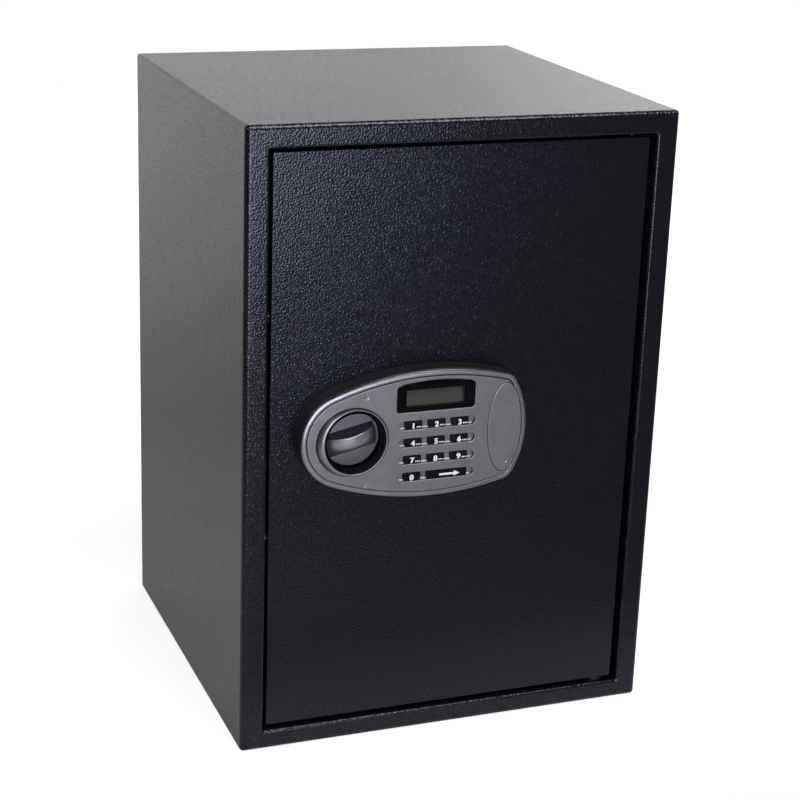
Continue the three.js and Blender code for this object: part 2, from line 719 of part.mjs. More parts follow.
part(solenoid, "solenoid_yoke", solenoidYoke(), zinc);
part(solenoid, "solenoid_coil", solenoidCoil(), [0x8a3d1e, 0.45, 0.2]);
part(solenoid, "solenoid_plunger", solenoidPlunger(), bright);

// Lock panel: dark housing with the knob's well, painted face with rim, groove, window and slots
function panelHousing() {
  const floorTop = DOOR_FACE - HOUSING_FLOOR;
  const shell = ring(egg(), egg(HOUSING_WALL), FACE_REAR, DOOR_FACE);
  const floor = plate(egg(1), floorTop, DOOR_FACE);
  const sleeve = barY(KNOB_X, LOCK_Z, WELL_R + WELL_WALL, COLLAR_CREST + 0.5, DOOR_FACE - 1);
  return cut(
    join(shell, floor, sleeve),
    barY(KNOB_X, LOCK_Z, WELL_R, PANEL_FACE - 20, floorTop),
    barY(KNOB_X, LOCK_Z, SPINDLE_R + 0.5, DOOR_FACE - 10, DOOR_FACE + 1),
    barY(PAD_X, LOCK_Z - 25, 6, DOOR_FACE - 10, DOOR_FACE + 1),
    barY(OVERRIDE_X, LOCK_Z, 10, DOOR_FACE - 10, DOOR_FACE + 1),
  );
}

const keyRows = [0, 1, 2, 3].map((i) => ROW_TOP - i * ROW_PITCH);

function slotShape(z) {
  const r = SLOT_H / 2;
  const half = SLOT_W / 2 - r;
  return capsule(PAD_X - half, z, r, PAD_X + half, z, r);
}

// Collar round the well: its wall leans from the oval foot in the face to the round crest
function collar() {
  const crest = WELL_R + WELL_WALL + WELL_FIT + COLLAR_LAND;
  const wall = new THREE.CylinderGeometry(1, 1, COLLAR_RISE, sidesFor(crest), 1);
  const spots = wall.attributes.position;
  for (let i = 0; i < spots.count; i++) {
    const [x, y, z] = [spots.getX(i), spots.getY(i), spots.getZ(i)];
    if (y < 0) spots.setXYZ(i, x * crest, COLLAR_CREST, z * crest);
    else spots.setXYZ(i, x * FOOT_A + FOOT_DX, PANEL_FACE, z * FOOT_B + FOOT_DZ);
  }
  const foot = plate(ellipse(KNOB_X + FOOT_DX, LOCK_Z + FOOT_DZ, FOOT_A, FOOT_B), PANEL_FACE, PANEL_FACE + 1);
  return join(solid(wall.translate(KNOB_X, 0, LOCK_Z)), foot);
}

function panelFace() {
  const slab = roundedPlate(egg(), PANEL_FACE, FACE_REAR, RIM_ROUND, 4);
  const groove = ring(egg(GROOVE_IN), egg(GROOVE_IN + GROOVE_W), PANEL_FACE - 1, PANEL_FACE + GROOVE_D);
  const bore = barY(KNOB_X, LOCK_Z, WELL_R + WELL_WALL + WELL_FIT, PANEL_FACE - 20, DOOR_FACE);
  const dimples = [-1, 1].map((s) =>
    barY(DIMPLE_X, LOCK_Z - DIMPLE_DROP + s * DIMPLE_OUT, DIMPLE_R, PANEL_FACE - 1, PANEL_FACE + 0.5),
  );
  const seat = ellipse(OVERRIDE_X, LOCK_Z, COVER_A + 0.3, COVER_B + 0.3);
  const hatch = ellipse(OVERRIDE_X, LOCK_Z, COVER_A - 3, COVER_B - 6);
  return cut(
    join(cut(slab, groove), collar()),
    bore,
    ...dimples,
    plate(seat, PANEL_FACE - 1, PANEL_FACE + LID_T),
    plate(hatch, PANEL_FACE - 1, FACE_REAR + 1),
    plate(windowShape(), PANEL_FACE - 1, FACE_REAR + 1),
    ...keyRows.map((z) => plate(slotShape(z), PANEL_FACE - 1, FACE_REAR + 1)),
  );
}

part(door, "panel_housing", panelHousing(), black);
part(door, "panel_face", panelFace(), silver);

// Display: black window frame, display module behind it, circuit board
const displayBox = (grow) =>
  panel(
    DISPLAY_X - DISPLAY_W / 2 - grow,
    DISPLAY_X + DISPLAY_W / 2 + grow,
    DISPLAY_Z - DISPLAY_H / 2 - grow,
    DISPLAY_Z + DISPLAY_H / 2 + grow,
  );
part(
  door,
  "display_window",
  cut(
    roundedPlate(windowShape(0.25), LENS_FRONT, LENS_FRONT + LENS_T, 0.6, 2),
    plate(displayBox(0), LENS_FRONT - 1, LENS_FRONT + 3),
  ),
  [0x070708, 0.12, 0],
);
part(
  door,
  "display_module",
  join(
    plate(displayBox(-0.3), LENS_FRONT + 1, FACE_REAR + 1),
    plate(displayBox(2.5), FACE_REAR + 0.5, BOARD_FRONT),
  ),
  [0x5f5c52, 0.25, 0],
);
part(
  door,
  "circuit_board",
  plate(panel(PAD_X - 37.5, PAD_X + 37.5, PANEL_Z - 43, PANEL_Z + 42, 2), BOARD_FRONT, BOARD_FRONT + BOARD_T),
  [0x1f5132, 0.5, 0.1],
);

// Keypad: ten digit keys and one wide key through the slots, over a pale mat
const columns = [-KEY_PITCH, 0, KEY_PITCH];
const keys = [];
for (let digit = 1; digit <= 9; digit++) {
  keys.push([`key_${digit}`, columns[(digit - 1) % 3], keyRows[Math.floor((digit - 1) / 3)], KEY_W]);
}
keys.push(["key_0", columns[0], keyRows[3], KEY_W]);
keys.push(["key_enter", (columns[1] + columns[2]) / 2, keyRows[3], KEY_W + KEY_PITCH]);
const keypad = assembly("keypad", door, PAD_X, 0, 0);

const keyShape = (x, z, w, grow) =>
  panel(x - w / 2 - grow, x + w / 2 + grow, z - KEY_H / 2 - grow, z + KEY_H / 2 + grow, 1.2 + grow);

function keyMat() {
  const wide = SLOT_W / 2 + 2;
  const [low, high] = [keyRows[3] - SLOT_H / 2 - 3, keyRows[0] + SLOT_H / 2 + 3];
  const sheet = plate(panel(-wide, wide, low, high, 2), MAT_FRONT, MAT_FRONT + MAT_T);
  const hole = (x, z, w) => plate(keyShape(x, z, w, 0.25), MAT_FRONT - 1, MAT_FRONT + MAT_T + 1);
  return cut(sheet, ...keys.map(([, x, z, w]) => hole(x, z, w)));
}

part(keypad, "key_mat", keyMat(), [0xb5b5b2, 0.45, 0]);
for (const [name, x, z, w] of keys) {
  const cap = roundedPlate(keyShape(0, 0, w, 0), PANEL_FACE + KEY_SUNK, KEY_REAR, 0.6, 2);
  part(keypad, name, cap, [0x0d0d0f, 0.4, 0], x, 0, z);
}

// Override lock: pull-off oval cover, cylinder with nut, keyed plug and its cam
function keyholeCover() {
  const oval = (inset) => ellipse(0, 0, COVER_A - inset, COVER_B - inset);
  const lid = roundedPlate(oval(0), PANEL_FACE, PANEL_FACE + LID_T, 0.8, 2);
  const skirt = ring(oval(6.4), oval(8), PANEL_FACE + 1, FACE_REAR + 1.5);
  const dimple = barY(2, -COVER_B + 8, 1.4, PANEL_FACE - 1, PANEL_FACE + 0.4);
  return cut(join(lid, skirt), dimple);
}

function lockCylinder() {
  const seat = DOOR_FACE - HOUSING_FLOOR - WELD_GAP;
  const nut = DOOR_REAR + WELD_GAP;
  return turnedY(0, 0, [
    [PLUG_R + 0.2, CYLINDER_FRONT],
    [BARREL_R + 1.5, CYLINDER_FRONT],
    [BARREL_R + 1.5, seat],
    [BARREL_R, seat],
    [BARREL_R, nut],
    [BARREL_R + 3.5, nut],
    [BARREL_R + 3.5, nut + 4.5],
    [BARREL_R, nut + 4.5],
    [BARREL_R, CYLINDER_REAR],
    [PLUG_R + 0.2, CYLINDER_REAR],
    [PLUG_R + 0.2, CYLINDER_FRONT],
  ]);
}

function lockPlug() {
  const round = barY(0, 0, PLUG_R, CYLINDER_FRONT, CAM_FRONT);
  const tail = barY(0, 0, TAIL_R, CAM_FRONT - 1, CAM_FRONT + CAM_T + 2);
  return cut(join(round, tail), box(-0.9, 0.9, CYLINDER_FRONT - 1, CYLINDER_FRONT + 12, -4, 4));
}

function lockCam() {
  const arm = capsule(0, 0, PLUG_R + 2, 0, -CAM_REACH, CAM_TIP_R);
  return cut(
    plate(arm, CAM_FRONT, CAM_FRONT + CAM_T),
    barY(0, 0, TAIL_R + 0.1, CAM_FRONT - 1, CAM_FRONT + CAM_T + 1),
  );
}

part(overrideLock, "keyhole_cover", keyholeCover(), [0x737377, 0.45, 0.5]);
part(overrideLock, "lock_cylinder", lockCylinder(), zinc);
part(overrideLock, "lock_plug", lockPlug(), [0xb08d4a, 0.35, 0.9]);
part(overrideLock, "lock_cam", lockCam(), zinc);

// Knob: disc with a one-sided finger grip whose crest swells forward
function knobHead() {
  const disc = turnedY(0, 0, [
    [0, KNOB_FRONT],
    [KNOB_R - 1, KNOB_FRONT],
    [KNOB_R, KNOB_FRONT + 1],
    [KNOB_R, KNOB_FRONT + KNOB_DEPTH],
    [0, KNOB_FRONT + KNOB_DEPTH],
  ]);
  const half = KNOB_R - 0.6;
  const swell = (half ** 2 + GRIP_RISE ** 2) / (2 * GRIP_RISE);
  const bar = new THREE.CylinderGeometry(swell, swell, 60, 72).rotateX(Math.PI / 2);
  const crest = solid(bar.translate(GRIP_PEAK_X, KNOB_FRONT - GRIP_RISE + swell, 0));
  const profile = new THREE.Shape();
  profile.moveTo(GRIP_UPPER, -1);
  profile.lineTo(GRIP_UPPER, 0);
  profile.lineTo(GRIP_UPPER - 1.2, GRIP_RISE - 1);
  profile.quadraticCurveTo(GRIP_UPPER - 1.6, GRIP_RISE + 0.6, GRIP_UPPER - 3.4, GRIP_RISE - 0.3);
  profile.quadraticCurveTo(GRIP_LOWER + 5, GRIP_RISE - 5.5, GRIP_LOWER, 0);
  profile.lineTo(GRIP_LOWER, -1);
  const wedge = new THREE.ExtrudeGeometry(profile, {
    depth: 2 * KNOB_R,
    bevelEnabled: false,
    curveSegments: 6,
  });
  const along = new THREE.Vector3(1, 0, 0);
  const across = new THREE.Vector3(0, 0, 1);
  const outward = new THREE.Vector3(0, -1, 0);
  wedge.translate(0, 0, -KNOB_R);
  wedge.applyMatrix4(new THREE.Matrix4().makeBasis(across, outward, along));
  wedge.translate(0, KNOB_FRONT, 0);
  const within = barY(0, 0, half, KNOB_FRONT - 40, KNOB_FRONT + 2);
  return join(disc, solid(wedge).intersect(crest).intersect(within));
}

function knobCrank() {
  const front = CARRIAGE_FRONT - CARRIAGE_SLIP - 5;
  const lever = plate(capsule(0, 0, 9, CRANK_DX, CRANK_DZ, 6), front, front + 3);
  return join(lever, barY(CRANK_DX, CRANK_DZ, CRANK_PIN_R, front + 2, CARRIAGE_REAR + 2));
}

const SPINDLE_END = CARRIAGE_FRONT - CARRIAGE_SLIP - 5;
const spindle = barY(0, 0, SPINDLE_R, KNOB_FRONT + KNOB_DEPTH + 0.25, SPINDLE_END);
part(knobSet, "knob", knobHead(), [0x66635f, 0.38, 0.3]).rotation.y = -GRIP_TILT;
part(knobSet, "knob_spindle", spindle, zinc);
part(knobSet, "knob_crank", knobCrank(), zinc);

// Inside of the door: screwed cover with knuckles for the battery lid
function doorCover() {
  const sheet = panel(PAN_LEFT + 1, PAN_RIGHT - 1, PAN_LOW + 1, PAN_HIGH - 1, 2);
  const [w, h] = [TRAY_W / 2, TRAY_H / 2];
  const hatch = panel(TRAY_X - w, TRAY_X + w, TRAY_Z - h, TRAY_Z + h);
  const [near, top] = [w + LID_MARGIN + 0.3, LID_AXIS_Y + LID_ROLL_R];
  const knuckle = box(near, near + KNUCKLE_W, COVER_REAR - 0.5, top, LID_AXIS_Z - 2, LID_AXIS_Z + 2);
  const knuckles = [knuckle, knuckle.mirror([1, 0, 0])].map((one) => one.translate([TRAY_X, 0, 0]));
  return cut(
    join(plate(sheet, PAN_REAR, COVER_REAR), ...knuckles),
    barX(LID_AXIS_Y, LID_AXIS_Z, LID_PIN_R + 0.2, TRAY_X - near - 2, TRAY_X - near + 1),
    barX(LID_AXIS_Y, LID_AXIS_Z, LID_PIN_R + 0.2, TRAY_X + near - 1, TRAY_X + near + 2),
    plate(hatch, PAN_REAR - 1, COVER_REAR + 1),
    barY(BUTTON_X, BUTTON_Z, BUTTON_R + 0.4, PAN_REAR - 1, COVER_REAR + 1),
  );
}

function batteryTray() {
  const [w, h] = [TRAY_W / 2 - WELD_GAP, TRAY_H / 2 - WELD_GAP];
  const around = (grow, front, rear) =>
    plate(panel(TRAY_X - w - grow, TRAY_X + w + grow, TRAY_Z - h - grow, TRAY_Z + h + grow), front, rear);
  const body = around(0, PAN_REAR - TRAY_D, COVER_REAR - 0.25);
  const flange = around(TRAY_FLANGE, PAN_REAR - 1.75, PAN_REAR - 0.25);
  return cut(join(body, flange), around(-TRAY_WALL, PAN_REAR - TRAY_D + TRAY_WALL, COVER_REAR + 1));
}

function batteryCell() {
  return turnedX(0, 0, [
    [0, -CELL_L / 2],
    [CELL_R - 1.5, -CELL_L / 2],
    [CELL_R, -CELL_L / 2 + 0.8],
    [CELL_R, CELL_L / 2 - 1.4],
    [CELL_R - 1, CELL_L / 2 - 1],
    [2.7, CELL_L / 2 - 1],
    [2.7, CELL_L / 2],
    [0, CELL_L / 2],
  ]);
}

part(door, "door_cover", doorCover(), coat);
part(door, "battery_tray", batteryTray(), black);
for (let row = 0; row < CELL_COUNT; row++) {
  const z = TRAY_Z + (row - (CELL_COUNT - 1) / 2) * CELL_PITCH;
  const cell = part(door, `battery_cell_${row + 1}`, batteryCell(), [0x2b2b2e, 0.35, 0.5], TRAY_X, CELL_Y, z);
  cell.rotation.z = row % 2 ? 0 : Math.PI;
}

// Battery lid: rolled upper edge with a pin at each end, finger rib along the lower edge
function batteryLid() {
  const half = TRAY_W / 2 + LID_MARGIN;
  const low = TRAY_Z - TRAY_H / 2 - LID_MARGIN;
  const [front, rear] = [LID_AXIS_Y - LID_ROLL_R, LID_AXIS_Y + LID_ROLL_R];
  const sheet = box(TRAY_X - half, TRAY_X + half, front, rear, low, LID_AXIS_Z);
  const roll = barX(LID_AXIS_Y, LID_AXIS_Z, LID_ROLL_R, TRAY_X - half, TRAY_X + half);
  const pins = barX(LID_AXIS_Y, LID_AXIS_Z, LID_PIN_R, TRAY_X - half - 1.8, TRAY_X + half + 1.8);
  const rib = box(TRAY_X - 12, TRAY_X + 12, rear - 0.5, rear + 1.8, low + 3, low + 5);
  return join(sheet, roll, pins, rib);
}

function codeButton() {
  const cap = barY(BUTTON_X, BUTTON_Z, BUTTON_R, PAN_REAR - 4, COVER_REAR + 2.5);
  return join(cap, barY(BUTTON_X, BUTTON_Z, BUTTON_R + 2, PAN_REAR - 6, PAN_REAR - 3.5));
}

function buttonSwitch() {
  const base = box(BUTTON_X - 9, BUTTON_X + 9, PAN_REAR - 16, PAN_REAR - 0.5, BUTTON_Z - 9, BUTTON_Z + 9);
  const ears = box(BUTTON_X - 9, BUTTON_X + 9, PAN_REAR - 2, PAN_REAR - 0.5, BUTTON_Z - 14, BUTTON_Z + 14);
  return cut(
    join(base, ears),
    barY(BUTTON_X, BUTTON_Z, BUTTON_R + 2.4, PAN_REAR - 9, PAN_REAR - 3),
    barY(BUTTON_X, BUTTON_Z, BUTTON_R + 0.4, PAN_REAR - 4, PAN_REAR + 1),
  );
}

part(door, "battery_lid", batteryLid(), black);
part(door, "code_button", codeButton(), [0xb01818, 0.35, 0]);
part(door, "button_switch", buttonSwitch(), black);

export default root;
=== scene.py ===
"""Security safe: cabinet, door, lock panel and inner fittings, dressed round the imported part."""

import json
import math

import bmesh
import bpy
from mathutils import Matrix, Vector

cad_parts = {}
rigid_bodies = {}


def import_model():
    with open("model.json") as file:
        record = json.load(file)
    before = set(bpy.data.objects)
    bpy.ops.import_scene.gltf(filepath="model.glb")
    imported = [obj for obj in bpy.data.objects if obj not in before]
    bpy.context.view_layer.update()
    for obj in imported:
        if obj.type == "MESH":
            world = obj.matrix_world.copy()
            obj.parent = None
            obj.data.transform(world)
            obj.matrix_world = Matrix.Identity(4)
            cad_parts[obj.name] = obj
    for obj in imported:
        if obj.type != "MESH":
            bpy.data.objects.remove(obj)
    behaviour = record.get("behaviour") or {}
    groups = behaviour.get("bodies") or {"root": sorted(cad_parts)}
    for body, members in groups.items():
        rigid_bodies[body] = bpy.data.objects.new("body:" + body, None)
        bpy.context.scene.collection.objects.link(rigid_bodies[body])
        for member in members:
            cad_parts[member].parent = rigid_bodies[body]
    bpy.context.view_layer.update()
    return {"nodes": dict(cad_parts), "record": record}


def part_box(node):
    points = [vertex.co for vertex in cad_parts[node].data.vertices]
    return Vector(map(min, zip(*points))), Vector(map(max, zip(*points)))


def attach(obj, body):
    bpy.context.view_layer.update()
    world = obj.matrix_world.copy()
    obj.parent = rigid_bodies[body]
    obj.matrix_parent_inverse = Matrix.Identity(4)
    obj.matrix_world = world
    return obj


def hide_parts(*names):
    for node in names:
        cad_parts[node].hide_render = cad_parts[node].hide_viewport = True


for unneeded in list(bpy.data.objects):
    bpy.data.objects.remove(unneeded)

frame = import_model()

MM = 0.001
NODES = frame["nodes"]

# Sizes in millimetres, as in the part
WIDTH, DEPTH, HEIGHT = 348, 332, 500
FRONT, BACK = -DEPTH / 2, DEPTH / 2
SHEET = 2
EDGE_BEND = 2.5
FRONT_BEND = 4.4
LIP_BEND = 2.2
OPENING = (-155.5, 155.5, 16, 482.5)
OPENING_CORNER = 1.2
LIP_BACK = FRONT + 22
ANCHOR_X, ANCHOR_Y, ANCHOR_R = 85, 20, 6
PIN_HOLE_R = 4.3
SOFT = 0.4
SHEET_EDGE = 0.3
DOOR_FACE, DOOR_REAR = -161.5, -157.5
DOOR = (-152, 151.5, 19, 479.5)
PIVOT = (139.5, -152.5)
LOCK_Z = 260
KNOB_X = -91.5
OVERRIDE_X = 32.5
PANEL_Z = 260
HOUSING_WALL, HOUSING_FLOOR = 2.5, 2
SEAT_GAP = 0.02
FACE = -181.5
FACE_REAR = -178.5
END_R, END_X = 38.5, -95
FLANK_R, FLANK_X = 232.5, -26
NOSE_R, NOSE_X = 77.2, -26.3
CORNER_R = 10
RIM_ROUND, RIM_WIDEST = 3, FACE + 1.8
DIMPLE_X, DIMPLE_Z, DIMPLE_OUT = -82.4, 258.2, 35.5
WELL_R, WELL_WALL = 22.9, 1.4
COLLAR_INNER = WELL_R + WELL_WALL + 0.25
COLLAR_OUTER = COLLAR_INNER + 0.8
COLLAR_TALL = 0.7
FOOT_X, FOOT_Z, FOOT_A, FOOT_B = KNOB_X - 1, LOCK_Z - 1, 28.7, 26.9
CREST = FACE - 4.5
KNOB_R, KNOB_FRONT = 22.3, -174.5
GRIP_RISE, GRIP_UPPER, GRIP_LOWER, GRIP_PEAK_X = 16, 8.9, -10, -2
GRIP_TILT = math.radians(13)
GRIP_HALF = KNOB_R - 0.25
GRIP_ROOT = 0.6
PAD_X = -23.9
DISPLAY_X, DISPLAY_Z = -25.6, 290
DISPLAY_W, DISPLAY_H = 48.2, 12.9
WINDOW_HALF, WINDOW_LOW, WINDOW_SHOULDER, WINDOW_ARCH = 32.1, 278.6, 300.4, 3.2
WINDOW_CORNER = 3
LENS_GAP, LENS_FRONT, LENS_REAR, LENS_ROUND = 0.25, FACE + 0.5, FACE + 2.5, 0.6
SLOT_EDGE, WINDOW_EDGE, COVER_EDGE = 0.4, 0.45, 0.3
SLOT_W, SLOT_H = 62.8, 7.3
ROW_PITCH = 14
ROWS = [268.3 - ROW_PITCH * i for i in range(4)]
KEY_PITCH, KEY_W, KEY_H = 19.1, 13.8, 6.7
KEY_FRONT, KEY_REAR = FACE + 0.3, -176
KEY_CORNER, KEY_ROUND = 1.2, 0.7
DIGIT_SIZE, DIGIT_STROKE = 6.2, 0.22
INK_DEPTH = 0.05
COVER_A, COVER_B = 14.2, 36.5
COVER_GAP, COVER_THICK = 0.3, 1.6
LOCK_HOLE_A, LOCK_HOLE_B = 11.2, 30.5
COVER_REAR = -120.5
SCREW_R = 3.2
SCREW_ROWS, SCREW_COLUMNS, SCREW_MIDDLE = (29.5, 180, 319.5, 469), (-141.5, 119.5), -11
CELL_PITCH, CELL_Z, CONTACT_X = 15, 130, 27.7
FLOOR_R, FLOOR_Y, FLOOR_DROP = 1600, 1250, 0.02

# Holes for the knob's spindle, the cable and the override lock: x, z, radius
DOOR_HOLES = ((KNOB_X, LOCK_Z, 5.5), (PAD_X, LOCK_Z - 25, 6), (OVERRIDE_X, LOCK_Z, 10))

# Profiles as distance across and depth behind the piece's front
GROOVE = (
    (3.7, 0), (3.9, 0.06), (4.0, 0.2), (4.05, 0.8), (4.15, 0.95),
    (4.8, 0.95), (4.9, 0.8), (4.97, 0.25), (5.1, 0.07), (5.4, 0),
)
DITCH = ((0.75, -1), (0.75, 0), (0.62, 0.1), (0.55, 0.55), (0, 0.7), (0, 2), (-3.4, 2), (-3.4, -1))
FACE_DIMPLE = ((2.9, -0.06), (2.45, -0.005), (2.0, 0.05), (1.4, 0.12), (0.8, 0.16), (0.3, 0.17))
COVER_DIMPLE = ((1.9, -0.3), (1.6, -0.02), (1.2, 0.2), (0.6, 0.38), (0.2, 0.42))
COLLAR_LIP = ((0, 0.5), (0.08, 0.22), (0.25, 0.06), (0.45, 0), (0.8, 0.04))
KNOB_EDGE = ((0.9, 0), (0.45, 0.12), (0.12, 0.45), (0, 0.9), (0, 8))

# Screw head: share of its radius, and height
SCREW_DOME = ((0, 2.0), (0.45, 1.95), (0.8, 1.55), (0.97, 0.9), (1, 0.3), (1, -0.2), (0, -0.2))

# Camera of the photograph: place in metres, angles in degrees, sensor and lens in millimetres
CAMERA_PLACE = (-0.5593, -1.4794, 0.7622)
CAMERA_AZIMUTH, CAMERA_ELEVATION, CAMERA_ROLL = -21.215, 18.743, 2.048
SENSOR_WIDTH = 36
LENS = 1943.2 / 800 * SENSOR_WIDTH


# Helpers that build nodes in one node tree
class Graph:
    def __init__(self, tree):
        self.tree = tree

    def node(self, kind, **settings):
        made = self.tree.nodes.new(kind)
        for key, value in settings.items():
            setattr(made, key, value)
        return made

    def put(self, socket, value):
        if isinstance(value, bpy.types.NodeSocket):
            self.tree.links.new(value, socket)
        else:
            socket.default_value = value

    def ramp(self, value, low, high, out_low=0.0, out_high=1.0, kind="LINEAR"):
        made = self.node("ShaderNodeMapRange", interpolation_type=kind)
        self.put(made.inputs["Value"], value)
        for key, number in (("From Min", low), ("From Max", high), ("To Min", out_low), ("To Max", out_high)):
            made.inputs[key].default_value = number
        return made.outputs["Result"]

    def math(self, operation, a, b=0.0):
        made = self.node("ShaderNodeMath", operation=operation)
        self.put(made.inputs[0], a)
        self.put(made.inputs[1], b)
        return made.outputs["Value"]

    def split(self, vector):
        made = self.node("ShaderNodeSeparateXYZ")
        self.put(made.inputs["Vector"], vector)
        return made.outputs

    def mix(self, factor, a, b, kind="FLOAT"):
        made = self.node("ShaderNodeMix", data_type=kind)
        for key, value in (("Factor", factor), ("A", a), ("B", b)):
            self.put(made.inputs[key], value)
        return made.outputs["Result"]

    def blend(self, factor, a, b):
        a, b = ((*color, 1) if isinstance(color, tuple) else color for color in (a, b))
        return self.mix(factor, a, b, "RGBA")


# A node material with a Principled shader, textured in the object's own space
class Look(Graph):
    def __init__(self, name):
        self.material = bpy.data.materials.new(name)
        self.material.use_nodes = True
        super().__init__(self.material.node_tree)
        self.shader = self.tree.nodes["Principled BSDF"]
        self.place = self.node("ShaderNodeTexCoord").outputs["Object"]

    def stretch(self, x, y, z):
        made = self.node("ShaderNodeMapping")
        self.put(made.inputs["Vector"], self.place)
        made.inputs["Scale"].default_value = (x, y, z)
        return made.outputs["Vector"]

    def noise(self, scale, detail=2, rough=0.5, source=None):
        made = self.node("ShaderNodeTexNoise")
        self.put(made.inputs["Vector"], source or self.place)
        made.inputs["Scale"].default_value = scale
        made.inputs["Detail"].default_value = detail
        made.inputs["Roughness"].default_value = rough
        return made.outputs["Fac"]

    def cells(self, scale, output="Distance"):
        made = self.node("ShaderNodeTexVoronoi")
        self.put(made.inputs["Vector"], self.place)
        made.inputs["Scale"].default_value = scale
        return made.outputs[output]

    def wave(self, scale, direction, distortion=0):
        made = self.node("ShaderNodeTexWave", bands_direction=direction)
        self.put(made.inputs["Vector"], self.place)
        made.inputs["Scale"].default_value = scale
        made.inputs["Distortion"].default_value = distortion
        return made.outputs["Fac"]

    def axis(self, which):
        return self.split(self.place)[which]

    def offset(self, which, start):
        return self.math("SUBTRACT", self.axis(which), start * MM)

    def reach(self, a, at_a, b, at_b):
        along = self.math("POWER", self.offset(a, at_a), 2)
        across = self.math("POWER", self.offset(b, at_b), 2)
        return self.math("SQRT", self.math("ADD", along, across))

    def bump(self, height, strength, distance, below=None):
        made = self.node("ShaderNodeBump")
        made.inputs["Strength"].default_value = strength
        made.inputs["Distance"].default_value = distance
        self.put(made.inputs["Height"], height)
        if below:
            self.put(made.inputs["Normal"], below)
        return made.outputs["Normal"]

    def tinted(self, color, shades):
        for shade in shades:
            mask, tone = shade(self)
            color = self.blend(mask, color, tone)
        return color

    def surface(self, color, rough, metal=0.0, normal=None, **more):
        self.put(self.shader.inputs["Base Color"], color)
        self.put(self.shader.inputs["Roughness"], rough)
        self.put(self.shader.inputs["Metallic"], metal)
        if normal:
            self.put(self.shader.inputs["Normal"], normal)
        for key, value in more.items():
            self.put(self.shader.inputs[key.replace("_", " ")], value)
        return self.material


# Node materials, one for each slot of the record
def powder_coat(name, dark, light):
    look = Look(name)
    tone = look.noise(9, 3, 0.55)
    speckle = look.noise(900, 2, 0.6)
    mixed = look.math("ADD", look.ramp(tone, 0.3, 0.7, 0.0, 0.6), look.ramp(speckle, 0.35, 0.65, 0.0, 0.4))
    normal = look.split(look.node("ShaderNodeNewGeometry").outputs["Normal"])
    frontal = look.math("ABSOLUTE", normal["Y"])
    orange_peel = look.math("MULTIPLY", look.noise(700, 0.2, 0.5), look.ramp(frontal, 0.3, 0.9, 2.0, 1.0))
    rolled = look.bump(look.noise(14, 2), 0.12, 0.0006)
    coarse = look.bump(orange_peel, 1.0, 0.00021, rolled)
    return look.surface(
        color=look.blend(mixed, dark, light),
        rough=look.ramp(look.noise(240, 2), 0.3, 0.7, 0.15, 0.21),
        normal=look.bump(look.noise(2600, 1, 0.5), 0.25, 0.00006, coarse),
        Specular_IOR_Level=look.ramp(look.noise(600, 1), 0.3, 0.7, 0.36, 0.64),
        Specular_Tint=(0.87, 0.9, 1.0, 1),
    )


def plated(name, base, shade, rough, shades=()):
    look = Look(name)
    cloud = look.ramp(look.noise(60, 4, 0.6), 0.3, 0.7, 0, 0.6)
    spangles = look.math("MULTIPLY", look.cells(420, "Color"), 0.4)
    scratches = look.noise(900, 3, 0.6, look.stretch(1, 1, 0.06))
    return look.surface(
        color=look.tinted(look.blend(look.math("ADD", cloud, spangles), shade, base), shades),
        rough=look.ramp(scratches, 0.3, 0.7, rough - 0.07, rough + 0.1),
        metal=1.0,
        normal=look.bump(scratches, 0.15, 0.00004),
    )


def moulded(name, dark, light, rough, grain=1500, strength=0.25, shades=(), shine=0.5):
    look = Look(name)
    tone = look.ramp(look.noise(40, 3, 0.6), 0.3, 0.7)
    return look.surface(
        color=look.tinted(look.blend(tone, dark, light), shades),
        rough=look.ramp(look.noise(180, 3), 0.3, 0.7, rough - 0.06, rough + 0.08),
        normal=look.bump(look.noise(grain, 2, 0.6), strength, 0.00006),
        Specular_IOR_Level=shine(look) if callable(shine) else shine,
    )


# Painted tones: where a tone lies on a piece, and that tone; mostly painted shade and painted highlights
# Painted shade: zinc parts within about 22 mm of the hinge pivot made near black, for the shade in the door's
# gap
def hinge_gap_shade(look):
    mask = look.ramp(look.reach("X", PIVOT[0], "Y", PIVOT[1]), 0.0218, 0.0222, 1.0, 0.0)
    return mask, (0.012, 0.011, 0.01)


def unlit_well(look):
    mask = look.ramp(look.reach("X", KNOB_X, "Z", LOCK_Z), 0.0262, 0.0268, 1.0, 0.0)
    return mask, (0.0016, 0.0016, 0.0016)


def well_shine(look):
    return look.ramp(unlit_well(look)[0], 0, 1, 0.5, 0.06)


def lit_strip(look):
    step = look.math("DIVIDE", look.offset("Z", ROWS[3] - ROW_PITCH / 2), ROW_PITCH * MM)
    return look.ramp(look.math("FRACT", step), 0.3, 0.35, 1.0, 0.0), (0.86, 0.86, 0.87)


# Painted shade in the bottom of the rim's groove, fuller on the upper part of the panel
def groove_painted_shade(look):
    depth = look.ramp(look.axis("Y"), (FACE + 0.6) * MM, (FACE + 0.95) * MM)
    height = look.ramp(look.axis("Z"), 0.232, 0.262, 0.45, 1.0)
    return look.math("MULTIPLY", depth, height)


# The collar a little darker grey at its crest, deepening to painted shade at its foot
def collar_tone_and_foot_shade(look):
    across = look.math("DIVIDE", look.offset("X", FOOT_X), FOOT_A * MM)
    up = look.math("DIVIDE", look.offset("Z", FOOT_Z), FOOT_B * MM)
    square = look.math("ADD", look.math("POWER", across, 2), look.math("POWER", up, 2))
    foot = look.ramp(look.axis("Y"), (FACE - 4.4) * MM, (FACE - 0.4) * MM, 0.12, 0.9)
    return look.math("MULTIPLY", look.ramp(square, 1.02, 1.05, 1.0, 0.0), foot)


